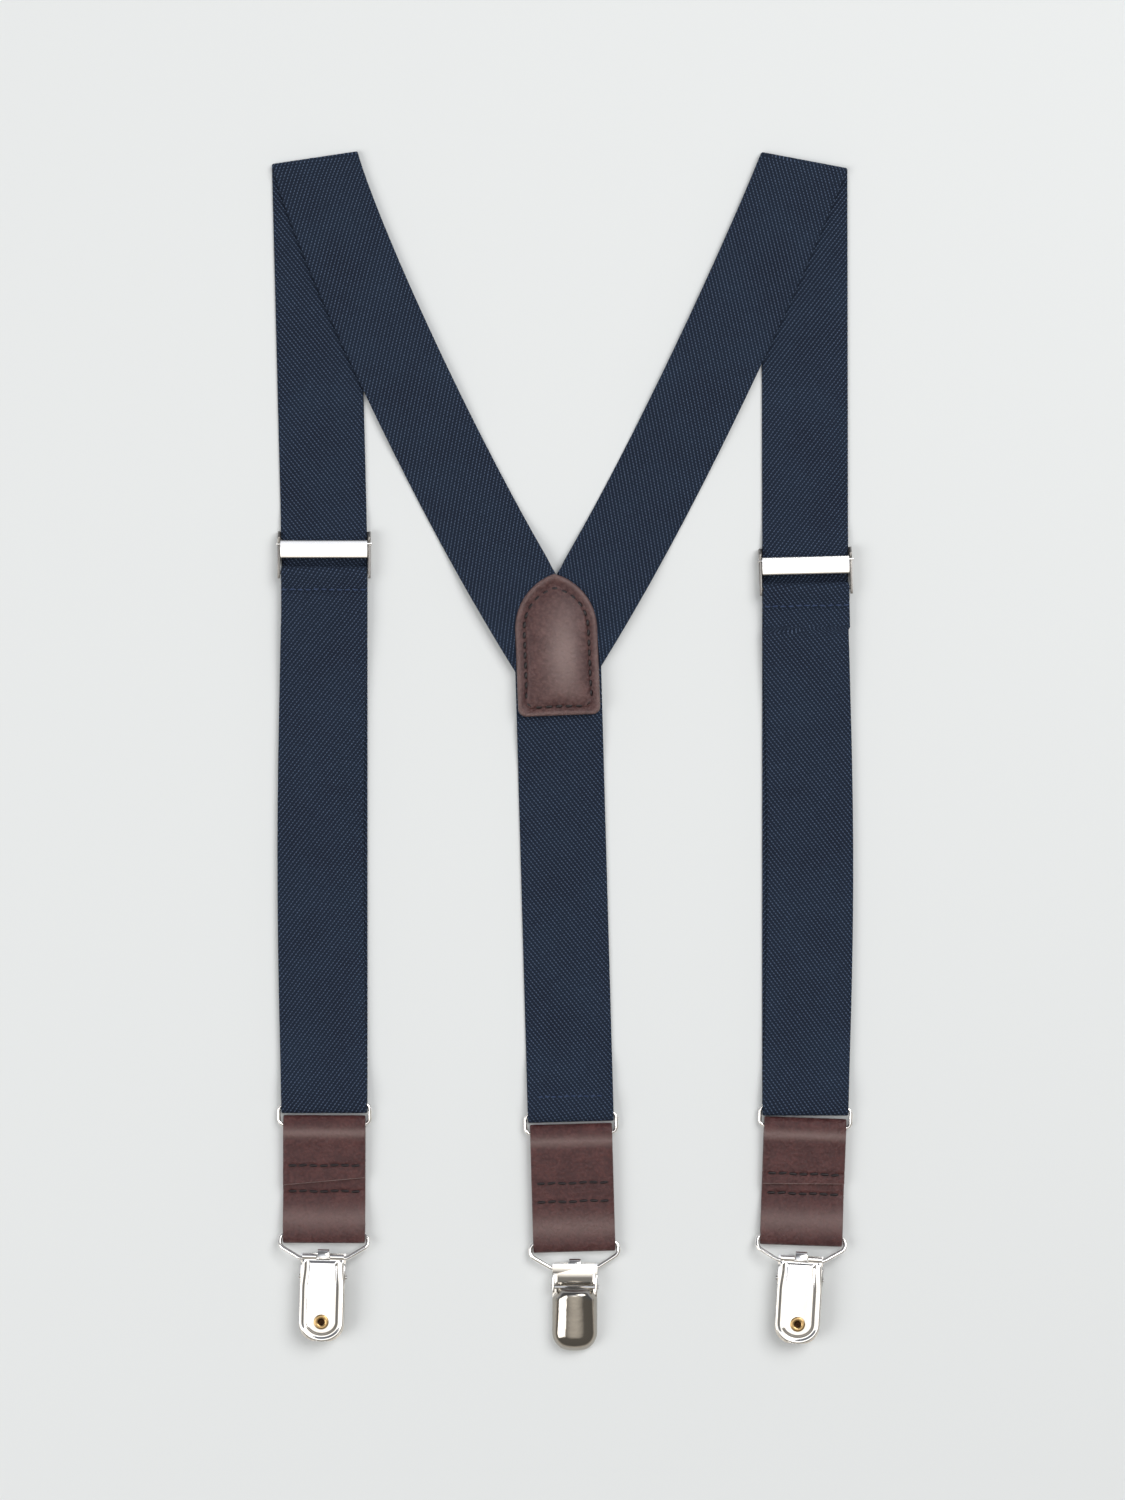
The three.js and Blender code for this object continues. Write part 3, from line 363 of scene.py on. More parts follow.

# %% [markdown]
# ### Metals, plastic and thread
#
# The wire, sliders and clips are steel plated with bright nickel: almost white, a little warm, and
# nearly a mirror, with the faint waviness of stamped sheet. The rivets are brass plated. As painted
# shade, the slider frames get a darker, duller nickel and the rivets' cups a dark brass. The pad
# inside each jaw is moulded nylon. The thread is waxed polyester.

# %% Metals, plastic and thread
def plated(name, hex_value, roughness, waviness):
    """A plated metal with a shallow noise over a few millimetres in its bump."""
    material, shader = new_finish(name, hex_value, Metallic=1.0, Roughness=roughness)
    here = add_node(material, "ShaderNodeTexCoord").outputs["Object"]
    wavy = add_node(material, "ShaderNodeTexNoise", {"Vector": here, "Scale": 1 / (4 * MM),
                    "Detail": 2.0}).outputs["Fac"]
    bump = add_node(material, "ShaderNodeBump", {"Height": wavy, "Strength": waviness,
                    "Distance": 0.2 * MM})
    link(material, bump.outputs[0], shader, "Normal")
    return material


nickel = plated("bright nickel plated steel", "#f7f4ef", 0.17, 0.12)
chrome = plated("bright chrome plated steel", "#aca69d", 0.1, 0.3)
# Painted shade: a darker nickel for the slider frames, so that they read as shaded by the bar.
dull_and_shaded_nickel = plated("dull nickel plated steel, darkened as painted shade", "#8f8b86", 0.38, 0.2)
brass = plated("brass plated steel", "#c2a271", 0.3, 0.2)
# Painted shade: a dark brass for the hollow of each rivet's cup.
shaded_brass = plated("brass darkened as painted shade", "#3d2a1b", 0.5, 0.2)
nylon, _ = new_finish("moulded nylon", "#e6e1d6", Roughness=0.5)
plum_thread, _ = new_finish("plum waxed thread", "#16080a", Roughness=0.5)
navy_thread, _ = new_finish("blue polyester thread", "#223658", Roughness=0.6)
SLOT_FINISH = {"webbing": webbing, "leather": leather, "nickel": nickel, "brass": brass,
               "plastic": nylon}
slot_of = {part["node"]: part["material_slot"] for part in frame["record"]["subparts"]}
for name, node in frame["nodes"].items():
    node.data.materials.clear()
    node.data.materials.append(SLOT_FINISH[slot_of[name]])
print("finished", len(slot_of), "frame nodes")

# %% [markdown]
# ## Straps
#
# A strap is one long flat profile carried along a path. Each station of the path has a middle and
# a vector to the strap's edge, which need not be square to the path: at the shoulder the strap is
# folded along a slanting crease, so there the vector lies along the crease. The profile is a thin
# rounded bar, and its UV map holds true millimetres, so that the ribs run on through the fold.

# %% The strap's profile
def flat_profile(width, thick, across, edge_steps=4):
    """Rounded bar, anticlockwise: top from +width/2, a half-circle edge, bottom, the other edge."""
    r = thick / 2
    flat = np.linspace(width / 2 - r, r - width / 2, across)
    bend = np.linspace(0, np.pi, edge_steps + 2)[1:-1]
    far = width / 2 - r
    side = np.concatenate([flat, -far - r * np.sin(bend), flat[::-1], far + r * np.sin(bend)])
    up = np.concatenate([np.full(across, r), r * np.cos(bend), np.full(across, -r),
                         -r * np.cos(bend)])
    return side, up


def ribbon(name, middle, half, width, thick, material, start=0.0, hand=1, across=15):
    """A flat strap: point = middle + half * side / (width/2) + normal * up, normal = half x path.

    The UV of a point is its distance across the strap and along it, in millimetres, from start.
    hand = -1 mirrors the weave. Returns the object and the length of the path.
    """
    along = unit(np.gradient(middle, axis=0))
    normal = unit(np.cross(half, along))
    square = unit(np.cross(along, normal))
    side, up = flat_profile(width, thick, across)
    share = side / (width / 2)
    points = (middle[:, None] + half[:, None] * share[None, :, None]
              + normal[:, None] * up[None, :, None])
    steps = np.linalg.norm(np.diff(middle, axis=0), axis=1)
    run = start + np.concatenate([[0], np.cumsum(steps)])
    u = hand * (half * square).sum(1)[:, None] * share
    v = run[:, None] + (half * along).sum(1)[:, None] * share
    rows, columns = points.shape[:2]
    faces = grid_faces(rows, columns, wrap_columns=True).tolist()
    faces.append(list(range(columns)))
    faces.append(list(range(rows * columns - 1, (rows - 1) * columns - 1, -1)))
    made = new_piece(name, points.reshape(-1, 3), faces, material,
                     uv=np.stack([u, v], -1).reshape(-1, 2))
    return made, float(run[-1] - start)


def hairpin(middle, out, rise, drift=(0, 0, 0), count=24):
    """A U turn: middle + out cos t + rise sin t + drift t / pi, for t from -90 to 90 degrees."""
    t = np.linspace(-np.pi / 2, np.pi / 2, count)[:, None]
    middle, out, rise, drift = map(np.asarray, (middle, out, rise, drift))
    return middle + out * np.cos(t) + rise * np.sin(t) + drift * t / np.pi


def slanted(along, angle):
    """Vector from the middle to the edge where the strap is cut or creased along an angle."""
    line = np.stack([np.cos(angle), np.sin(angle), np.zeros_like(angle)], -1)
    square = unit(np.stack([-along[:, 1], along[:, 0], np.zeros(len(along))], -1))
    return line * (WEB_WIDTH / 2 / np.abs((line * square).sum(1)))[:, None]


def level(points):
    """Points with their heights set to zero."""
    return np.asarray(points, float) * [1, 1, 0]


# %% [markdown]
# The layout of one front strap starts from three places: the middle of the shoulder fold, the
# slider and the ring. A flat fold is a mirror, so the crease lies halfway between the directions
# of the two runs, and that fixes how the fold slants.

# %% Where one front strap lies
def lay_out(side):
    """Crease, fold, slider and ring of one front strap."""
    s = SIDES[side]
    crest = np.array([s["hand"] * FOLD_OUT, FOLD_UP + s["rise"], 0.0])
    slider = np.array([crest[0] + s["lean"], crest[1] - SLIDER_DROP + s["slider"], 0.0])
    ring = np.array([slider[0], crest[1] - FRONT_LENGTH, 0.0])
    climb = unit(crest - slider)
    down = -math.pi / 2 - s["hand"] * math.radians(s["first"])
    arm = np.array([math.cos(down), math.sin(down), 0.0])
    angle = (math.atan2(climb[1], climb[0]) + down) / 2
    crease = np.array([math.cos(angle), math.sin(angle), 0.0])
    out = np.array([-crease[1], crease[0], 0.0])
    turn_at = crest - out * (FOLD_DEPTH + WEB_THICK / 2)
    drift = crease * (-arm @ crease / -(arm @ out)) * math.pi * FOLD_DEPTH
    return dict(s, slider_at=slider, ring_at=ring, climb=climb, arm=arm, angle=angle, out=out,
                turn_at=turn_at, drift=drift)


def arm_path(p):
    """The arm of the Y: a Bezier curve from the yoke to the fold, evenly stepped."""
    hand = p["hand"]
    cut = -hand * math.radians(78)
    up = math.pi / 2 - hand * math.radians(32)
    climb = np.array([math.cos(up), math.sin(up), 0.0])
    reach = abs(slanted(climb[None], np.array([cut]))[0, 0])
    start = np.array([hand * (reach + GAP) - math.sin(YOKE_TURN) * 33, 33.0, 0.0])
    end = p["turn_at"] - p["drift"] / 2
    ctrl = np.stack([start, start + climb * 74, end + p["arm"] * 34, end])
    t = np.linspace(0, 1, 900)[:, None]
    curve = ((1 - t) ** 3 * ctrl[0] + 3 * t * (1 - t) ** 2 * ctrl[1]
             + 3 * t * t * (1 - t) * ctrl[2] + t ** 3 * ctrl[3])
    length = np.concatenate([[0], np.cumsum(np.linalg.norm(np.diff(curve, axis=0), axis=1))])
    run = np.linspace(0, length[-1], 130)
    middle = np.stack([np.interp(run, length, curve[:, k]) for k in range(3)], -1)
    along = unit(np.gradient(middle, axis=0))
    square = np.arctan2(along[:, 1], along[:, 0]) - math.pi / 2
    square = (square + math.pi) % (2 * math.pi) - math.pi
    line = (square + (cut - square) * (1 - ease(run, 0, WEB_WIDTH))
            + (p["angle"] - square) * ease(run, run[-1] - FOLD_SETTLE, run[-1]))
    crossing = run[-1] - 3 * WEB_WIDTH
    middle[:, 2] = (LYING + (ARM_HEIGHT - LYING) * (1 - ease(run, 22, 56))
                    + (SECOND_PLY - LYING) * ease(run, crossing - 34, crossing))
    return middle, slanted(along, line)


def front_path(p):
    """The front run: down from the fold, over the back of the slider, to just above the ring."""
    start = p["turn_at"] + p["drift"] / 2
    slider, foot = p["slider_at"], p["ring_at"][1] + TAIL_JOIN
    y = np.concatenate([np.linspace(start[1], slider[1] + 22, 80),
                        np.linspace(slider[1] + 22, slider[1] - 14, 60)[1:],
                        np.linspace(slider[1] - 14, foot, 100)[1:]])
    share = np.clip((y - slider[1]) / (start[1] - slider[1]), 0, 1)
    x = slider[0] + (start[0] - slider[0]) * share
    above = (y > slider[1])[:, None]
    along = np.where(above, p["climb"], [0.0, 1.0, 0.0])
    square = np.arctan2(along[:, 1], along[:, 0]) - math.pi / 2
    line = p["angle"] + (square - p["angle"]) * ease(start[1] - y, 0, FOLD_SETTLE)
    off = y - slider[1]
    lift = (1 - ease(off, 8.3, 19.3)) * ease(off, -TAIL_BAR_DROP + 2.8, -3.6)
    return np.stack([x, y, LYING + 1.1 * lift], -1), slanted(along, line)


# %% [markdown]
# Each strap is cut in two pieces behind the fold, where the seam is out of sight: the arm with its
# fold rides with the yoke, and the front run is a piece of its own, from the fold to just above the
# ring.

# %% The two shoulder straps
layout = {side: lay_out(side) for side in SIDES}
strap_length = {}
for side, p in layout.items():
    arm, arm_half = arm_path(p)
    front, front_half = front_path(p)
    turn_half = slanted(p["climb"][None], np.array([p["angle"]]))[0]
    fold_middle = level(p["turn_at"]) + [0, 0, (LYING + SECOND_PLY) / 2]
    fold = hairpin(fold_middle, p["out"] * FOLD_DEPTH, np.array([0, 0, (LYING - SECOND_PLY) / 2]),
                   p["drift"])[1:-1]
    first = 4
    whole = np.concatenate([arm, fold, front[:first]])
    halves = np.concatenate([arm_half, np.tile(turn_half, (len(fold), 1)), front_half[:first]])
    top, arm_length = ribbon(f"{side}_strap_arm", whole, halves, WEB_WIDTH, WEB_THICK, webbing,
                             hand=-p["hand"])
    run, run_length = ribbon(f"{side}_strap_front", front[first - 1:], front_half[first - 1:],
                             WEB_WIDTH, WEB_THICK, webbing, start=arm_length, hand=-p["hand"])
    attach(top, "straps")
    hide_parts(f"{side}_strap")
    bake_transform(run)
    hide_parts(f"{side}_strap")
    strap_length[side] = arm_length + run_length
    print(side, "strap", round(strap_length[side]), "mm")

# %% [markdown]
# ### Adjusting tails
#
# Below the slider the same webbing goes round the ring, comes up over itself and is sewn round the
# slider's lower bar. It is one ribbon from ring to slider.

# %% Tails and their sewn heads
def upper_ply(y):
    """Height of the upper ply above the ring: over the wire, then down onto the ply below."""
    over = 2 * RING_HEIGHT - LYING
    return over + (SECOND_PLY - over) * ease(y, RING_SPACING / 2, WEB_SETTLE)


def ring_turn(below):
    """Down behind from a height above the ring's middle, and round its upper bar."""
    y = np.linspace(below, RING_SPACING / 2, 9)[:-1]
    down = np.stack([0 * y, y, np.full_like(y, LYING)], -1)
    turn = hairpin([0, RING_SPACING / 2, RING_HEIGHT], [0, -(WEB_REACH - WEB_THICK / 2), 0],
                   [0, 0, RING_HEIGHT - LYING])
    return np.concatenate([down, turn])


tail_length = {}
for side, p in layout.items():
    reach = p["slider_at"][1] - p["ring_at"][1]
    top = reach - TAIL_HEAD
    first = RING_SPACING / 2 + 1
    y = np.linspace(first, top, 150)
    x = p["bow"] * np.sin(np.pi * (y - first) / (top - first))
    z = upper_ply(y) + (WEB_THICK + GAP) * ease(y, top - TAIL_CLIMB, top)
    tail = np.concatenate([ring_turn(TAIL_JOIN), np.stack([x, y, z], -1)]) + level(p["ring_at"])
    y = np.linspace(-TAIL_HEAD, -TAIL_BAR_DROP - 0.4, 30)[1:]
    bend = (TAIL_BAR + WEB_THICK) / 2 + GAP
    over = SECOND_PLY + WEB_THICK + GAP
    rise = over + (TAIL_BAR_HEIGHT + bend - over) * ease(y, -TAIL_FOLDED + 5, -TAIL_BAR_DROP - 0.4)
    front_ply = np.stack([0 * y, y, rise], -1)
    turn = hairpin([0, -TAIL_BAR_DROP, TAIL_BAR_HEIGHT], [0, bend, 0], [0, 0, -bend])
    y = np.linspace(-TAIL_BAR_DROP - 3, -TAIL_FOLDED, 12)
    back_ply = np.stack([0 * y, y, np.full_like(y, SECOND_PLY)], -1)
    head = placed(np.concatenate([front_ply, turn, back_ply]), level(p["slider_at"]),
                  math.radians(p["turn"]))
    half = np.concatenate([np.tile([WEB_WIDTH / 2, 0, 0], (len(tail), 1)),
                           np.tile(turned([WEB_WIDTH / 2, 0, 0], math.radians(p["turn"])),
                                   (len(head), 1))])
    piece, tail_length[side] = ribbon(f"{side}_tail_webbing", np.concatenate([tail, head]), half,
                                      WEB_WIDTH, WEB_THICK, webbing, start=strap_length[side],
                                      hand=-p["hand"])
    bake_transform(piece)
    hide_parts(f"{side}_tail", f"{side}_tail_head")
    print(side, "tail", round(tail_length[side]), "mm, with the strap",
          round(tail_length[side] + strap_length[side]), "mm")

# %% [markdown]
# ### Back strap
#
# The back strap runs from under the patch, over the back ring's bar, and is sewn to itself
# underneath. It is elastic, so its end is a sprung slide.

# %% Back strap
foot = SEWN_PLY - BACK_LENGTH
y = np.concatenate([np.linspace(44, foot + 18, 90), np.linspace(foot + 18, foot, 40)[1:],
                    np.linspace(foot, RING_SPACING / 2 + 1 - BACK_LENGTH, 12)[1:]])
off_ring = y + BACK_LENGTH
z = (LYING + (BACK_HEIGHT - LYING) * ease(y, -24, -3)
     + (SECOND_PLY - LYING) * (1 - ease(y, foot + 2, foot + SEWN_PLY)))
z = z + (2 * RING_HEIGHT - LYING - SECOND_PLY) * (1 - ease(off_ring, RING_SPACING / 2, SEWN_PLY))
strap = np.stack([0 * y, y, z], -1)
ply = ring_turn(SEWN_PLY)[::-1]
middle = turned(np.concatenate([strap, ply - [0, BACK_LENGTH, 0]]), BACK_TURN)
half = np.tile(turned([WEB_WIDTH / 2, 0, 0], BACK_TURN), (len(middle), 1))
back_webbing, back_length = ribbon("back_strap_webbing", middle, half, WEB_WIDTH, WEB_THICK,
                                   webbing)
back_ring_at = turned([0, -BACK_LENGTH, 0], BACK_TURN)
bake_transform(back_webbing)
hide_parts("back_strap", "back_strap_end")
print("back strap", round(back_length), "mm")

# %% [markdown]
# ## Stitches
#
# A stitch is a short thread pulled into the leather: a little lens with round ends. Every row uses
# one small mesh, repeated by arrays, with 32 faces to a stitch.

# %% One row of stitches
def stitches(name, places, directions, length, radius, material, body):
    """Lenses along directions: radius sin(s)^0.5 round the thread, at places in millimetres."""
    s = np.linspace(0.06, np.pi - 0.06, 5)
    t = np.linspace(0, 2 * np.pi, 8, endpoint=False)
    s, t = np.meshgrid(s, t, indexing="ij")
    thin = radius * np.sin(s) ** 0.5
    local = np.stack([-np.cos(s) * length / 2, thin * np.cos(t), thin * 0.7 * np.sin(t)], -1)
    places, directions = np.atleast_2d(places), unit(np.atleast_2d(directions).astype(float))
    side = unit(np.cross([0, 0, 1], directions))
    up = np.cross(directions, side)
    basis = np.stack([directions, side, up], 1)
    points = local.reshape(-1, 3) @ basis + places[:, None]
    one = grid_faces(5, 8, wrap_columns=True)
    count = len(places)
    faces = (one[None] + 40 * np.arange(count)[:, None, None]).reshape(-1, 4).tolist()
    faces += [[40 * i + j for j in range(8)] for i in range(count)]
    faces += [[40 * i + 32 + j for j in range(7, -1, -1)] for i in range(count)]
    made = new_piece(name, points.reshape(-1, 3), [face[::-1] for face in faces], material)
    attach(made, body)
    return made


def uneven_row(low, high, pitch, y, height, swing=0.12):
    """A row of places across a strap, each off the line by a sine of its own number."""
    x = np.arange(low, high + 0.01, pitch)
    off = swing * np.sin(2.4 * np.arange(len(x)) ** 1.3)
    slant = 0.1 * np.sin(1.7 * np.arange(len(x)) ** 1.2)
    places = np.stack([x, y + off, np.full_like(x, height)], -1)
    return places, np.stack([np.cos(slant), np.sin(slant), 0 * x], -1)


TAIL_SEAM_HALF, TAIL_SEAM_DROP, TAIL_SEAM_HEIGHT, TAIL_PITCH = 16, 16.4, 5.3, 3.2
BACK_SEAM_HALF, BACK_SEAM_RISE, BACK_PITCH = 12, 11.0, 2.66
for side, p in layout.items():
    angle = math.radians(p["turn"])
    places, ahead = uneven_row(-TAIL_SEAM_HALF, TAIL_SEAM_HALF, TAIL_PITCH, -TAIL_SEAM_DROP,
                               TAIL_SEAM_HEIGHT + WEB_THICK / 2)
    stitches(f"{side}_tail_stitches", placed(places, level(p["slider_at"]), angle),
             turned(ahead, angle), 2.3, 0.34, navy_thread, f"{side}_slider")
places, ahead = uneven_row(-BACK_SEAM_HALF, BACK_SEAM_HALF, BACK_PITCH, BACK_SEAM_RISE, 0)
places[:, 2] = 2 * RING_HEIGHT - LYING + (SECOND_PLY - 2 * RING_HEIGHT + LYING) * ease(
    places[:, 1], RING_SPACING / 2, SEWN_PLY) + WEB_THICK / 2
stitches("back_strap_stitches", turned(places - [0, BACK_LENGTH, 0], BACK_TURN),
         turned(ahead, BACK_TURN), 2.0, 0.32, navy_thread, "back_strap_end")
print("sewn both tails and the back strap")

# %% [markdown]
# ## Yoke patch
#
# The patch is a padded piece of leather in the shape of a gothic arch, pressed thin along its rim
# and sewn 3.8 mm in from the edge. It could be a flat plate with a bevel, but the padding is what
# catches the light, so it is a height field instead: rings of points shrink from the outline to
# the middle line. The rim and seam depend on the distance from the edge, and the padding inside
# the seam is a film blown up from below, worked out on a grid of half-millimetre cells.

# %% The patch's outline and height
PATCH_WIDTH, PATCH_TALL, PATCH_SHOULDER, PATCH_CORNER = 33.4, 57.6, 35.0, 3.2
PATCH_THICK, SEAM_IN, PATCH_PITCH = 1.2, 3.8, 4.1
# Where the painted highlight lies on the padding, and how wide and tall it is.
HIGHLIGHT_AT, HIGHLIGHT_WIDTH, HIGHLIGHT_TALL = (3, 25), 7, 17


def arch_outline(inset, count=240):
    """Gothic arch, anticlockwise: a foot with round corners, straight sides, two crossing arcs."""
    half = PATCH_WIDTH / 2 - inset
    rise = PATCH_TALL - PATCH_SHOULDER - inset * 1.6
    radius = (half * half + rise * rise) / (2 * half)
    sweep = math.asin(rise / radius)
    r = PATCH_CORNER
    turn = np.linspace(-np.pi / 2, 0, 10)
    right = np.stack([half - r + r * np.cos(turn), inset + r + r * np.sin(turn)], -1)
    arc = np.linspace(0, sweep, 50)
    top = np.stack([half - radius + radius * np.cos(arc),
                    PATCH_SHOULDER + radius * np.sin(arc)], -1)
    one = np.concatenate([[[0, inset]], right, top])
    loop = np.concatenate([one, (one * [-1, 1])[::-1][1:]])
    run = np.concatenate([[0], np.cumsum(np.linalg.norm(np.diff(loop, axis=0), axis=1))])
    even = np.linspace(0, run[-1], count, endpoint=False)
    return np.stack([np.interp(even, run, loop[:, k]) for k in range(2)], -1), run[-1]


def membrane(cell=0.5, rounds=1500):
    """Heights of a film blown up inside the seam: each cell is its neighbours' mean plus one.

    The cells cover the patch's width and height, and the highest is scaled to 1.
    """
    x = np.arange(-PATCH_WIDTH / 2, PATCH_WIDTH / 2 + cell, cell)
    y = np.arange(0, PATCH_TALL + cell, cell)
    half = PATCH_WIDTH / 2 - SEAM_IN
    rise = PATCH_TALL - PATCH_SHOULDER - SEAM_IN * 1.6
    radius = (half * half + rise * rise) / (2 * half)
    up = np.clip(y - PATCH_SHOULDER, 0, radius)
    reach = half - radius + np.sqrt(radius ** 2 - up ** 2)
    inside = (np.abs(x)[None] < reach[:, None]) & (y[:, None] > SEAM_IN)
    film = np.zeros(inside.shape)
    for _ in range(rounds):
        film[1:-1, 1:-1] = inside[1:-1, 1:-1] * (1 + (film[:-2, 1:-1] + film[2:, 1:-1]
                                                 + film[1:-1, :-2] + film[1:-1, 2:]) / 4)
    return x, y, film / film.max()


def sampled(x, y, grid, places):
    """Grid values between cells, by the four nearest ones."""
    cell = x[1] - x[0]
    i, j = (places[..., 1] - y[0]) / cell, (places[..., 0] - x[0]) / cell
    i0 = np.clip(np.floor(i).astype(int), 0, len(y) - 2)
    j0 = np.clip(np.floor(j).astype(int), 0, len(x) - 2)
    p, q = i - i0, j - j0
    return ((1 - p) * (1 - q) * grid[i0, j0] + p * (1 - q) * grid[i0 + 1, j0]
            + (1 - p) * q * grid[i0, j0 + 1] + p * q * grid[i0 + 1, j0 + 1])


def patch_height(inward, blown):
    """Height above the rim's foot by distance from the edge: a round rim, a seam, then padding."""
    rim = PATCH_THICK * np.sqrt(1 - (1 - np.clip(inward / 1.1, 0, 1)) ** 2)
    flat = -0.25 * ease(inward, 1.6, 2.8)
    seam = -0.35 * np.exp(-((inward - SEAM_IN) / 0.6) ** 2)
    padding = 0.25 * ease(inward, SEAM_IN, SEAM_IN + 0.8) + 2.3 * blown ** 0.8
    return rim + flat + seam + padding


edge, _ = arch_outline(0.0)
axis_y = np.clip(edge[:, 1], PATCH_WIDTH / 2, 44.0)
heart = np.stack([np.zeros(len(edge)), axis_y], -1)
rings = 1 - np.linspace(0, 1, 70)[:, None, None] ** 1.2
flat = heart + (edge - heart) * rings
inward = np.linalg.norm(edge - heart, axis=1)[None] * (1 - rings[:, :, 0])
lift = patch_height(inward, sampled(*membrane(), flat))
top = np.concatenate([flat, (PATCH_HEIGHT + lift)[..., None]], -1)
under = np.concatenate([edge, np.full((len(edge), 1), PATCH_HEIGHT)], -1)
rows, columns = top.shape[:2]
points = np.concatenate([top.reshape(-1, 3), under])
faces = grid_faces(rows, columns, wrap_columns=True)[:, ::-1].tolist()
faces.append(list(range(rows * columns, rows * columns + columns))[::-1])
foot = rows * columns
ring = np.arange(columns)
after = (ring + 1) % columns
faces += np.stack([ring, foot + ring, foot + after, after], -1)[:, ::-1].tolist()
patch = new_piece("yoke_patch_leather", turned(points, YOKE_TURN), faces, leather)
# Painted highlight: a pale blob on the padding, a little right of the middle, where the light would
# shine on it. The rim is also made paler.
painted_highlight = 0.75 * np.exp(-((flat[..., 0] - HIGHLIGHT_AT[0]) / HIGHLIGHT_WIDTH) ** 2
                       - ((flat[..., 1] - HIGHLIGHT_AT[1]) / HIGHLIGHT_TALL) ** 2)
painted_highlight = painted_highlight * ease(inward, SEAM_IN + 1, SEAM_IN + 7)
wear_and_highlight = np.maximum(0.3 * (1 - ease(inward, 0.8, 2.6)), painted_highlight)
wear_and_highlight = np.concatenate([wear_and_highlight.ravel(), np.full(columns, 0.3)])
patch.data.attributes.new("wear_and_highlight", "FLOAT", "POINT").data.foreach_set("value",
                                                                     wear_and_highlight.astype(np.float32))
merge = patch.modifiers.new("close the middle", "WELD")
merge.merge_threshold = 0.002 * MM
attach(patch, "straps")
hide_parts("yoke_patch")
print("patch", len(faces), "faces")

# %% Stitches round the patch
seam, around = arch_outline(SEAM_IN, 2000)
count = round(around / PATCH_PITCH)
pick = (np.arange(count) * 2000 / count).astype(int)
places = np.concatenate([seam[pick], np.full((count, 1), PATCH_HEIGHT + PATCH_THICK - 0.3)], -1)
ahead = np.roll(seam, -20, axis=0)[pick] - np.roll(seam, 20, axis=0)[pick]
directions = np.concatenate([ahead, np.zeros((count, 1))], -1)
stitches("patch_stitches", turned(places, YOKE_TURN), turned(directions, YOKE_TURN), 2.8, 0.8,
         plum_thread, "straps")
print(count, "stitches round the patch")

# %% [markdown]
# ## Leather tabs
#
# A tab is one strip of leather that goes round the ring's lower bar and the wire loop, with its
# ends overlapping and sewn. It is the same ribbon as a strap, on a path with two hairpins.

# %% The tab's path
TAB_PLY = LOOP_WIRE / 2 + GAP + HIDE_THICK / 2
TAB_STEP = HIDE_THICK + GAP
TAB_SEAM_HALF, TAB_PITCH = 12.8, 4.26


def tab_middle(y):
    """Height of the ply on the sewn side: pinched flat where the ends overlap, up at the wires."""
    inner = -TAB_PLY + TAB_STEP + (2 * TAB_PLY - TAB_STEP) * ease(-y, TAB_CUT + 4, TAB_SPACING - 1)
    outer = TAB_PLY + 2 * (TAB_STEP - TAB_PLY) * ease(-y, 1, TAB_PINCH)
    return inner, outer


def tab_path(rows):
    """Inner end, round the loop's bar, along the front, round the ring's bar, to the outer end."""
    out = TAB_REACH - HIDE_THICK / 2
    y = np.linspace(TAB_OVERLAP - TAB_CUT, 1 - TAB_SPACING, 90)
    inner = np.stack([0 * y, y, tab_middle(y)[0] - puckers(y, rows)], -1)
    lower = hairpin([0, -TAB_SPACING, 0], [0, -out, 0], [0, 0, -TAB_PLY])
    y = np.linspace(-TAB_SPACING, 0, 30)[1:-1]
    front = np.stack([0 * y, y, np.full_like(y, -TAB_PLY)], -1)
    upper = hairpin([0, 0, 0], [0, out, 0], [0, 0, TAB_PLY])
    y = np.linspace(-1, -TAB_CUT, 70)
    outer = np.stack([0 * y, y, tab_middle(y)[1] - puckers(y, rows)], -1)
    return np.concatenate([inner, lower, front, upper, outer])


def puckers(y, rows):
    """Depth of the grooves that the stitch rows pull into the leather."""
    return sum((0.3 * np.exp(-((y - row) / 1.0) ** 2) for row in rows), 0 * y)


def tab_top(y):
    """Height of the tab's overlapped face at a distance below the ring's bar."""
    inner, outer = tab_middle(y)
    return float(outer if -y < TAB_CUT else inner) + HIDE_THICK / 2


def end_places(end):
    """Ring middle, ring bar, loop bar and clip wire of one strap end, in millimetres."""
    e = ENDS[end]
    ring = (back_ring_at if end == "back" else level(layout[end]["ring_at"])) + [0, 0, RING_HEIGHT]
    bar = placed([0, -RING_SPACING / 2, 0], ring, math.radians(e["ring"]))
    loop = placed([0, -TAB_SPACING, 0], bar, math.radians(e["tab"]))
    hinge = np.array(joints[f"{end}_clip_hinge"]["pos_m"]) / MM - OFFSET
    return ring, bar, loop, hinge


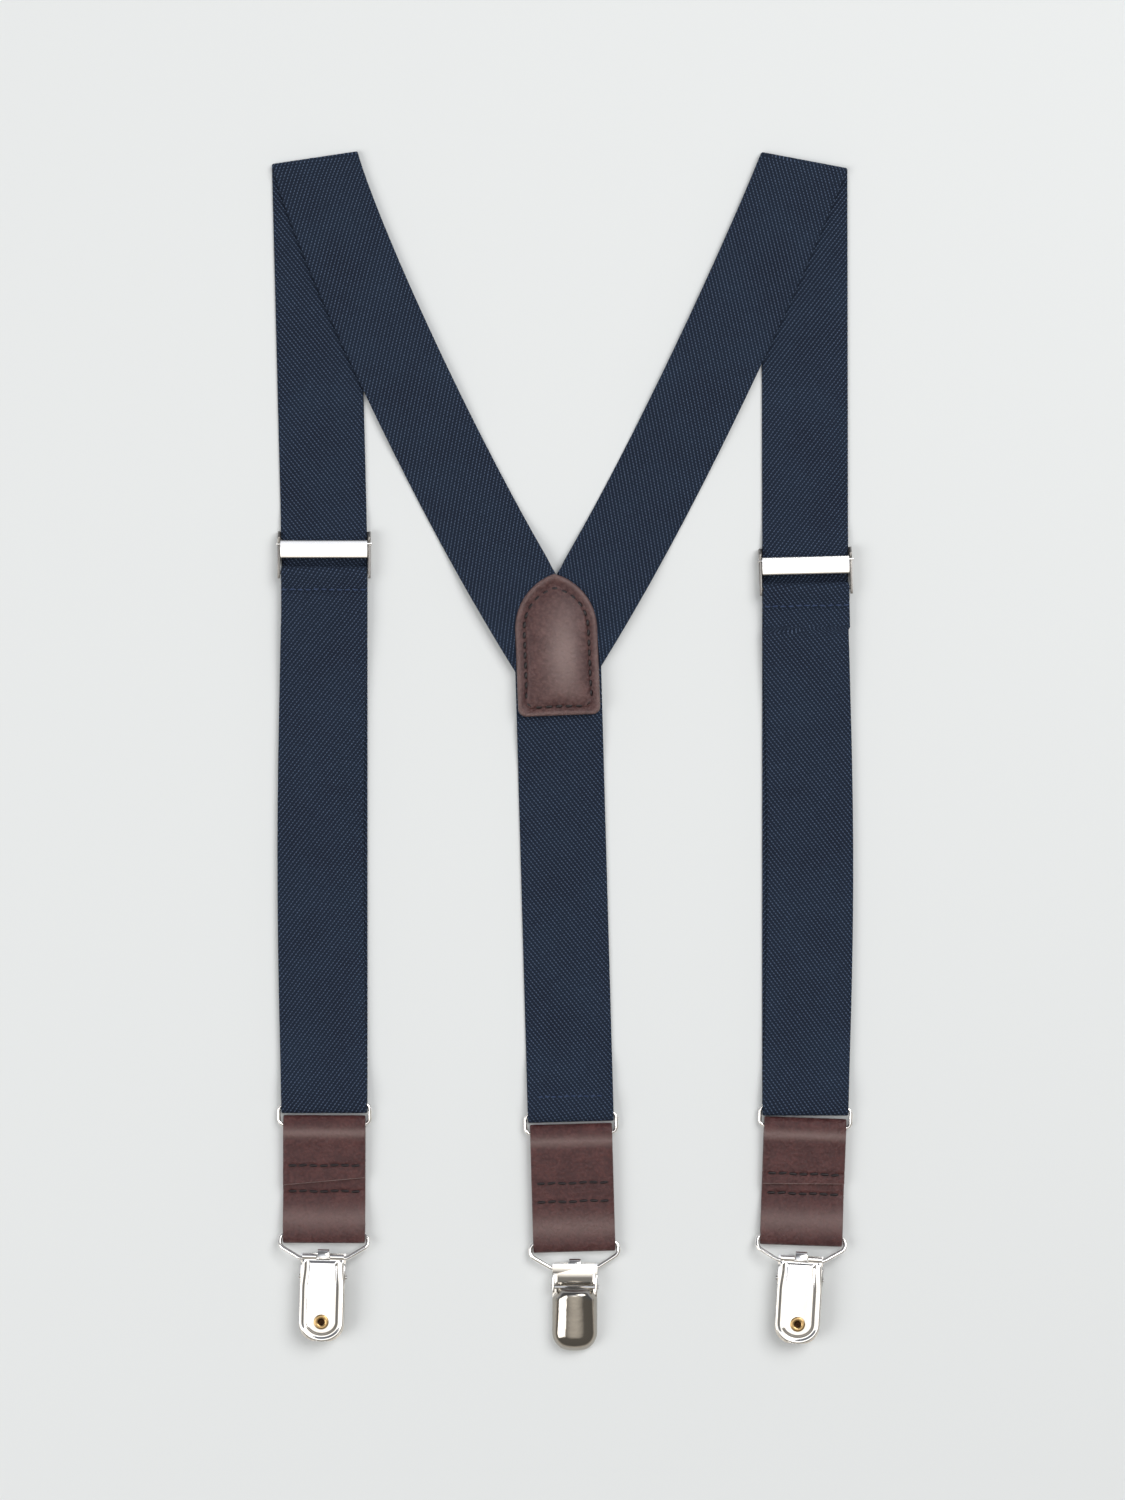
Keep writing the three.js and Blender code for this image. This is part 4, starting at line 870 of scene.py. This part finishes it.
for end, e in ENDS.items():
    ring, bar, loop, hinge = end_places(end)
    roll = math.pi if e["face_up"] else 0.0
    flat_path = tab_path(() if e["face_up"] else e["rows"])
    slant = np.zeros(len(flat_path))
    slant[-70:] = math.tan(math.radians(e["cut"])) * ease(-flat_path[-70:, 1], TAB_PINCH, TAB_CUT)
    half = np.stack([np.ones(len(slant)), slant, 0 * slant], -1) * HIDE_WIDTH / 2
    path = placed(flat_path, bar, math.radians(e["tab"]), roll=roll)
    half = placed(half, 0, math.radians(e["tab"]), roll=roll)
    tab, length = ribbon(f"{end}_tab_leather", path, half, HIDE_WIDTH, HIDE_THICK, tab_leather,
                         across=13)
    # Painted highlight: paler bands just below the ring's bar and above the loop's bar, where the
    # leather bends. The cut end is paler as raw leather.
    near = -flat_path[:, 1]
    highlight_and_cut_edge = 0.5 * np.exp(-((near - 3.2) / 1.8) ** 2) + 0.4 * np.exp(
        -((near - TAB_SPACING + 6.5) / 4.5) ** 2)
    highlight_and_cut_edge[-1] = 1.0
    highlight_and_cut_edge = np.repeat(highlight_and_cut_edge, len(tab.data.vertices) // len(path)).astype(np.float32)
    tab.data.attributes.new("wear_and_highlight", "FLOAT", "POINT").data.foreach_set("value", highlight_and_cut_edge)
    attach(tab, f"{end}_tab")
    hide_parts(f"{end}_tab")
    rows = []
    for y in e["rows"]:
        face = TAB_PLY + HIDE_THICK / 2 if e["face_up"] else tab_top(y) - 0.16
        places, ahead = uneven_row(-TAB_SEAM_HALF, TAB_SEAM_HALF, TAB_PITCH, y, face, 0.18)
        rows.append((places, ahead))
    sewn = placed(np.concatenate([row[0] for row in rows]), bar, math.radians(e["tab"]))
    ahead = turned(np.concatenate([row[1] for row in rows]), math.radians(e["tab"]))
    stitches(f"{end}_tab_stitches", sewn, ahead, 3.4, 0.62, plum_thread, f"{end}_tab")
    print(end, "tab", round(length), "mm of leather")

# %% [markdown]
# ## Wire
#
# The rings and loops are bent from round wire. A wire is a circle carried along a closed path, and
# the path is a polygon whose corners are replaced by short arcs. All of it lies in one plane, so
# the circle's two axes are simply the plane's normal and the direction square to the path.

# %% Bending a wire
def rounded_loop(corners, radii, steps=9):
    """A closed path: each corner becomes a near-circular cubic that starts radius before it."""
    corners = np.array(corners, float)
    before = unit(np.roll(corners, 1, 0) - corners) * np.array(radii)[:, None]
    after = unit(np.roll(corners, -1, 0) - corners) * np.array(radii)[:, None]
    t = np.linspace(0, 1, steps)[:, None]
    pull = 3 * t * (1 - t) * (1 - 0.5523)
    from_b, from_a = (1 - t) ** 3 + pull * (1 - t), t ** 3 + pull * t
    return np.concatenate([corner + b * from_b + a * from_a
                           for corner, b, a in zip(corners, before, after)])


def closed_wire(path, wire, around=14, count=220):
    """Points on a tube round a closed plane path: path + r (side cos a + up sin a)."""
    loop = np.concatenate([path, path[:1]])
    run = np.concatenate([[0], np.cumsum(np.linalg.norm(np.diff(loop, axis=0), axis=1))])
    even = np.linspace(0, run[-1], count, endpoint=False)
    even = np.unique(np.concatenate([even, run[:-1]]))
    path = np.stack([np.interp(even, run, loop[:, k]) for k in range(3)], -1)
    path = path[np.linalg.norm(path - np.roll(path, 1, 0), axis=1) > 0.02]
    along = unit(np.roll(path, -1, 0) - np.roll(path, 1, 0))
    up = np.array([0.0, 0.0, 1.0])
    side = np.cross(along, up)
    a = np.linspace(0, 2 * np.pi, around, endpoint=False)[None, :, None]
    points = path[:, None] + wire / 2 * (side[:, None] * np.cos(a) + up * np.sin(a))
    return points.reshape(-1, 3), grid_faces(len(path), around, True, True)


for end, e in ENDS.items():
    ring, bar, loop, hinge = end_places(end)
    half, lift = WEB_WIDTH / 2 + 1, RING_SPACING / 2
    path = rounded_loop([[-half, -lift, 0], [half, -lift, 0], [half, lift, 0], [-half, lift, 0]],
                        [RING_BEND] * 4)
    points, faces = closed_wire(path, RING_WIRE)
    wire = new_piece(f"{end}_ring_wire", placed(points, ring, math.radians(e["ring"])), faces,
                     nickel)
    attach(wire, f"{end}_ring")
    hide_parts(f"{end}_ring")
    half, neck = HIDE_WIDTH / 2 + 1.2, -LOOP_LENGTH
    path = rounded_loop([[-half, 0, 0], [-half, neck + LOOP_FLARE, 0], [-LOOP_NECK, neck, 0],
                         [LOOP_NECK, neck, 0], [half, neck + LOOP_FLARE, 0], [half, 0, 0]],
                        [LOOP_BEND, 1.6, 1, 1, 1.6, LOOP_BEND])
    points, faces = closed_wire(path, LOOP_WIRE)
    pitch = -math.asin((hinge[2] - RING_HEIGHT) / LOOP_LENGTH)
    wire = new_piece(f"{end}_loop_wire", placed(points, loop, math.radians(e["loop"]), pitch),
                     faces, nickel)
    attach(wire, f"{end}_wire_loop")
    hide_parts(f"{end}_wire_loop")
print("bent three rings and three loops")

# %% [markdown]
# ## Stamped sheet
#
# Slider frames, slider levers, clip plates and bridges are stamped from sheet, and the frame's own
# solids already have their shape. What they lack is the small round that stamping leaves on every
# edge, which is what makes metal glint. A copy of each is welded and bevelled, and stands for it.

# %% Rounding the edges of stamped parts
def softened(node, width, levels=2, finish=None):
    """A bevelled copy of a node's solid: edges that turn by more than 30 degrees are rounded."""
    source = frame["nodes"][node]
    made = bpy.data.objects.new(f"{node}_metal", source.data.copy())
    bpy.context.scene.collection.objects.link(made)
    weld = made.modifiers.new("weld", "WELD")
    weld.merge_threshold = 0.005 * MM
    bevel = made.modifiers.new("stamped edge", "BEVEL")
    bevel.width = width * MM
    bevel.segments = levels
    bevel.limit_method = "ANGLE"
    bevel.angle_limit = math.radians(32)
    bevel.harden_normals = False
    if finish:
        made.data.materials[0] = finish
    made.data.polygons.foreach_set("use_smooth", np.ones(len(made.data.polygons), bool))
    made.data.set_sharp_from_angle(angle=math.radians(35))
    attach(made, source["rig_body"])
    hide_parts(node)
    return made


for side in SIDES:
    # The frames take the darker nickel as painted shade.
    softened(f"{side}_slider_frame", 0.18, finish=dull_and_shaded_nickel)
    softened(f"{side}_slider_lever", 0.3)
for end in ENDS:
    softened(f"{end}_clip_back_plate", 0.16)
    softened(f"{end}_clip_bridge", 0.2)
print("rounded the stamped parts")

# %% [markdown]
# ### Pressed faces
#
# Two stampings have a pressed shape that flat solids don't show. The slider's front bar is a
# little crowned, so it shades from edge to edge. The clip's back plate has a rolled rim, a channel
# and a raised panel. Each gets a thin skin over its flat face. A skin is a grid of points and a
# second grid behind it, with a wall along every open edge, which also closes the holes in it.

# %% Shells and skins
def shelled(skin, count):
    """Faces of a skin, of its back count points later, and a wall along each unshared edge."""
    ahead = np.concatenate([skin[:, [k, (k + 1) % 4]] for k in range(4)])
    code, reverse = ahead @ [count, 1], ahead @ [1, count]
    a, b = ahead[~np.isin(code, reverse)].T
    walls = np.stack([b, a, a + count, b + count], -1)
    return np.concatenate([skin, skin[:, ::-1] + count, walls])


def crowned_bar(wide, tall, crown, across=9, along=25):
    """A thin bar: height = crown (1 - (2 y / tall)^2), rounded off in the last 0.4 mm."""
    x = np.linspace(-wide / 2, wide / 2, across)
    y = tall / 2 * np.sin(np.linspace(-np.pi / 2, np.pi / 2, along))
    y, x = np.meshgrid(y, x, indexing="ij")
    off_edge = np.clip((tall / 2 - np.abs(y)) / 0.4, 0, 1)
    z = crown * (1 - (2 * y / tall) ** 2) + 0.3 * np.sqrt(1 - (1 - off_edge) ** 2)
    top = np.stack([x, y, z], -1).reshape(-1, 3)
    faces = shelled(grid_faces(along, across), across * along)
    return np.concatenate([top, top * [1, 1, 0] - [0, 0, 0.1]]), faces[:, ::-1]


SLIDER_FACE, BAR_WIDE, BAR_TALL = 5.9, 35.2, 7.2
for side, p in layout.items():
    points, faces = crowned_bar(BAR_WIDE, BAR_TALL, 0.22)
    at = level(p["slider_at"]) + [0, 0, SLIDER_FACE]
    bar = new_piece(f"{side}_slider_face", placed(points, at, math.radians(p["turn"])), faces,
                    nickel)
    bar.data.set_sharp_from_angle(angle=math.radians(50))
    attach(bar, f"{side}_slider_lever")
print("crowned both slider bars")

# %% The clip's pressed back
CLIP_HALF, CLIP_TAPER, CLIP_LONG, CLIP_FOOT = 9.1, 0.7, 33.4, 8.0
PLATE_OUT, NOTCH_HALF, NOTCH_LOW, RIVET_AT = 1.95, 2.8, -0.4, 25.4


def pressed_relief(off_side, y):
    """Height above the plate: a rolled rim, a channel, a raised panel and a roll at the top."""
    rim = 0.5 * np.sqrt(1 - (1 - np.clip(off_side / 0.7, 0, 1)) ** 2) * (
        1 - ease(off_side, 1.0, 1.9))
    inside = np.minimum(off_side, 1.8 - y)
    panel = 0.62 * ease(inside, 2.4, 3.5) + 0.14 * ease(inside, 3.5, 9.0)
    roll = 0.75 * np.sqrt(np.clip(1 - ((y - 0.9) / 1.05) ** 2, 0, 1))
    return 0.04 + np.maximum(rim * (1 - ease(y, -1.5, 0)), np.maximum(panel, roll))


def clip_back_mesh(across=61):
    """A grid from side to side and from the top edge to the oval foot, without its two holes."""
    straight = np.concatenate([np.linspace(PLATE_OUT, NOTCH_LOW, 15),
                               np.linspace(NOTCH_LOW, CLIP_FOOT - CLIP_LONG, 90)[1:]])
    turn = np.linspace(0, math.radians(88), 34)[1:]
    y = np.concatenate([straight, CLIP_FOOT - CLIP_LONG - CLIP_FOOT * np.sin(turn)])
    half = CLIP_HALF - CLIP_TAPER * (1 - ease(-y, 3, 12))
    half = half * np.concatenate([np.ones(len(straight)), np.cos(turn)])
    u = np.linspace(-1, 1, across)
    x, y2 = half[:, None] * u, np.repeat(y[:, None], across, 1)
    side = np.stack([np.concatenate([half, -half]), np.concatenate([y, y])], -1)
    grid = np.stack([x, y2], -1)[:, :, None]
    off_side = np.sqrt(((grid - side[None, None]) ** 2).sum(-1).min(-1))
    z = -PLATE_OUT - pressed_relief(off_side, y2)
    face = np.stack([x, y2, z], -1).reshape(-1, 3)
    flat = face * [1, 1, 0] - [0, 0, PLATE_OUT + 0.01]
    skin = grid_faces(len(y), across)
    centre = face[skin].mean(1)
    notch = (np.abs(centre[:, 0]) < NOTCH_HALF) & (centre[:, 1] > NOTCH_LOW)
    bore = np.hypot(centre[:, 0], centre[:, 1] + RIVET_AT) < 1.8
    faces = [list(f)[::-1] for f in shelled(skin[~(notch | bore)], len(face))]
    return np.concatenate([face, flat]), faces


# %% [markdown]
# ## Clip levers and rivets
#
# The lever of a clip is a domed cover: across it is a rounded arch, along it the arch rises from
# the hinge, slopes down, and closes to an oval foot. One formula gives the outer skin and,
# with an inset, the inner one. The rivet is turned, so its profile is carried round an axis.

# %% The lever's dome
LEVER = dict(top=5.9, length=27.6, top_half=7.5, full_half=9.15, tip=7.6, tip_half=2.2, crown=6.1,
             top_crown=0.26, rise=4.5, slope=0.38, fall_from=21.5, fall=6.3, rim=-0.5, sheet=0.8)


def dome(inset, across, along):
    """Half width by a quarter ellipse at the foot, height by an arch: cos^0.85 over sin^0.95."""
    lv = LEVER
    v, u = np.meshgrid(np.linspace(0, 1, along), np.linspace(-1, 1, across), indexing="ij")
    run = (lv["length"] - inset) * np.sin(v * np.pi / 2)
    widen = ease(run, 4, 6.6)
    into_tip = np.clip(run - lv["length"] + lv["tip"] + inset, 0, None) / lv["tip"]
    tip_round = np.sqrt(np.clip(1 - into_tip ** 2, 0, 1))
    full = lv["top_half"] + (lv["full_half"] - lv["top_half"]) * widen
    half = lv["tip_half"] + (full - lv["tip_half"]) * tip_round - inset
    climb = lv["top_crown"] + (1 - lv["top_crown"]) * ease(run, 0, lv["rise"])
    climb = climb * (1 - lv["slope"] * np.clip((run - lv["rise"]) / lv["length"], 0, 1))
    into_fall = np.clip(run - lv["fall_from"], 0, None) / lv["fall"]
    crown = (lv["crown"] - lv["rim"]) * climb * np.sqrt(np.clip(1 - into_fall ** 2, 0, 1)) - inset
    turn = u * np.pi / 2
    x = half * np.sign(turn) * np.abs(np.sin(turn)) ** 0.95
    z = lv["rim"] + crown * np.clip(np.cos(turn), 0, None) ** 0.85
    return np.stack([x, -lv["top"] - run, z], -1)


def lever_mesh(across=41, along=57):
    """Outer and inner dome joined along all four borders into one closed shell."""
    outer, inner = dome(0, across, along), dome(LEVER["sheet"], across, along)
    faces = shelled(grid_faces(along, across), across * along)
    return np.concatenate([outer.reshape(-1, 3), inner.reshape(-1, 3)]), faces


def clip_placed(points, end):
    """Points of the clip's own drawing, put where that clip lies."""
    hinge = end_places(end)[3]
    e = ENDS[end]
    return placed(points, hinge, math.radians(e["clip"]), roll=0.0 if e["face_up"] else math.pi)


def box_mesh(low, high):
    """The eight corners and six faces of a box."""
    x, y, z = np.array([low, high]).T
    points = np.array([[a, b, c] for a in x for b in y for c in z])
    return points, [[0, 1, 3, 2], [4, 6, 7, 5], [0, 4, 5, 1], [2, 3, 7, 6], [0, 2, 6, 4],
                    [1, 5, 7, 3]]


for end in ENDS:
    points, faces = clip_back_mesh()
    back = new_piece(f"{end}_clip_back_face", clip_placed(points, end), faces, nickel)
    back.data.set_sharp_from_angle(angle=math.radians(60))
    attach(back, f"{end}_clip")
print("pressed", len(ENDS), "back plates")

for end in ENDS:
    points, faces = lever_mesh()
    toe, toe_faces = box_mesh([-5.6, -9.4, 0.5], [5.6, -8.6, 2.9])
    every = [list(f) for f in faces] + [[i + len(points) for i in f] for f in toe_faces]
    lever = new_piece(f"{end}_clip_lever_dome", clip_placed(np.concatenate([points, toe]), end),
                      every, chrome)
    lever.data.set_sharp_from_angle(angle=math.radians(40))
    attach(lever, f"{end}_clip_lever")
    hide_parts(f"{end}_clip_lever")
print("domed", len(ENDS), "levers")

# %% Hollow rivets
RIVET_BACK = -3.25


def rivet_mesh(around=40):
    """A rolled head, a shallow cup in it, and a barrel with its inner head, turned round."""
    a = np.linspace(0, np.pi, 16)
    roll = np.stack([2.2 + 0.85 * np.cos(a), RIVET_BACK + 0.45 - 0.45 * np.sin(a)], -1)
    cup = np.array([[1.3, RIVET_BACK + 1.1], [0.9, RIVET_BACK + 1.35], [0.3, RIVET_BACK + 1.25],
                    [0.02, RIVET_BACK + 1.1]])
    rest = np.array([[0.02, 0.4], [1.2, 0.8], [2.5, 0.8], [2.5, 0.5], [1.7, 0.5],
                     [1.7, RIVET_BACK + 0.6], [3.04, RIVET_BACK + 0.55]])
    profile = np.concatenate([roll, cup, rest])
    t = np.linspace(0, 2 * np.pi, around, endpoint=False)
    r, z = profile[:, 0][:, None], profile[:, 1][:, None]
    points = np.stack([r * np.cos(t), r * np.sin(t) - RIVET_AT, z + 0 * t], -1)
    return points.reshape(-1, 3), grid_faces(len(profile), around, True, True)


for end in ENDS:
    points, faces = rivet_mesh()
    rivet = new_piece(f"{end}_clip_rivet_brass", clip_placed(points, end), faces, brass)
    # Painted shade: the faces of the cup take the dark brass.
    rivet.data.materials.append(shaded_brass)
    in_cup = np.repeat(np.isin(np.arange(len(faces) // 40), (15, 16, 17, 18)), 40)
    rivet.data.polygons.foreach_set("material_index", in_cup.astype(np.int32))
    rivet.data.set_sharp_from_angle(angle=math.radians(50))
    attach(rivet, f"{end}_clip")
    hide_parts(f"{end}_clip_rivet")
print("set", len(ENDS), "rivets")

# %% [markdown]
# ## Table, light and camera
#
# The suspenders lie on a white table under a large soft light, so shadows are faint and close. The
# camera hangs straight above with a long lens, which keeps the straps parallel.

# %% Table and light
paper, _ = new_finish("white table", "#e4e6e5", Roughness=0.9, Specular_IOR_Level=0.1)
mesh = bpy.data.meshes.new("table")
mesh.from_pydata([(-20, -20, 0), (20, -20, 0), (20, 20, 0), (-20, 20, 0)], [], [(0, 1, 2, 3)])
mesh.materials.append(paper)
table = bpy.data.objects.new("table", mesh)
bpy.context.scene.collection.objects.link(table)

# The studio has a small bright ceiling over a darker band of wall, so that a flat plate looks
# bright and a domed one is streaked. The ceiling is a little warmer at the front.
world = bpy.data.worlds.new("studio")
bpy.context.scene.world = world
world.use_nodes = True
background = world.node_tree.nodes["Background"]
facing = add_node(world, "ShaderNodeTexCoord").outputs["Generated"]
part = add_node(world, "ShaderNodeSeparateXYZ", {0: facing})
wall = add_node(world, "ShaderNodeValToRGB", {"Fac": part.outputs["Z"]}).color_ramp
wall.elements[0].color = (0.36, 0.36, 0.36, 1.0)
for stop, grey in ((0.12, 0.3), (0.3, 0.07), (0.86, 0.08), (0.96, 0.38), (0.985, 0.5)):
    wall.elements.new(stop).color = (grey, grey, grey, 1.0)
tint = add_node(world, "ShaderNodeMapRange", {"Value": part.outputs["Y"], "From Min": -0.3,
                "From Max": 0.3}, interpolation_type="SMOOTHSTEP").outputs[0]
air = add_node(world, "ShaderNodeMix", {0: tint, 6: colour("#fffaf2"), 7: colour("#eef3ff")},
               data_type="RGBA").outputs[2]
shade = world.node_tree.nodes["Color Ramp"].outputs["Color"]
lit = add_node(world, "ShaderNodeMix", {0: 1.0, 6: air, 7: shade}, data_type="RGBA",
               blend_type="MULTIPLY").outputs[2]
world.node_tree.links.new(lit, background.inputs["Color"])
background.inputs["Strength"].default_value = 2.5


def soft_light(name, place, aim, size, power, hex_value="#ffffff"):
    """A square area light at a place, turned to face a point."""
    data = bpy.data.lights.new(name, "AREA")
    data.shape, data.size, data.energy = "SQUARE", size, power
    data.color = colour(hex_value)[:3]
    light = bpy.data.objects.new(name, data)
    bpy.context.scene.collection.objects.link(light)
    light.location = place
    from_to = np.array(aim) - np.array(place)
    flat = math.hypot(from_to[0], from_to[1])
    light.rotation_euler = (math.atan2(flat, -from_to[2]), 0,
                            math.atan2(from_to[1], from_to[0]) - math.pi / 2)
    return light


soft_light("key", (1.1, 0.9, 1.9), (0, 0, 0), 1.5, 34)
soft_light("fill", (-1.6, -0.5, 1.6), (0, 0, 0), 1.4, 22)
print("one table, two lights")

# %% Camera
VIEW_TALL, LENS, SENSOR = 1500 / 2.457 * MM, 100.0, 36.0
camera = bpy.data.objects.new("camera", bpy.data.cameras.new("camera"))
bpy.context.scene.collection.objects.link(camera)
camera.data.lens, camera.data.sensor_width = LENS, SENSOR
camera.data.clip_end = 100
camera.location = ((1.2 + OFFSET[0]) * MM, (-14 + OFFSET[1]) * MM, VIEW_TALL * LENS / SENSOR)
bpy.context.scene.camera = camera
bpy.context.scene.view_settings.view_transform = "Standard"
print("camera", [round(v, 3) for v in camera.location])
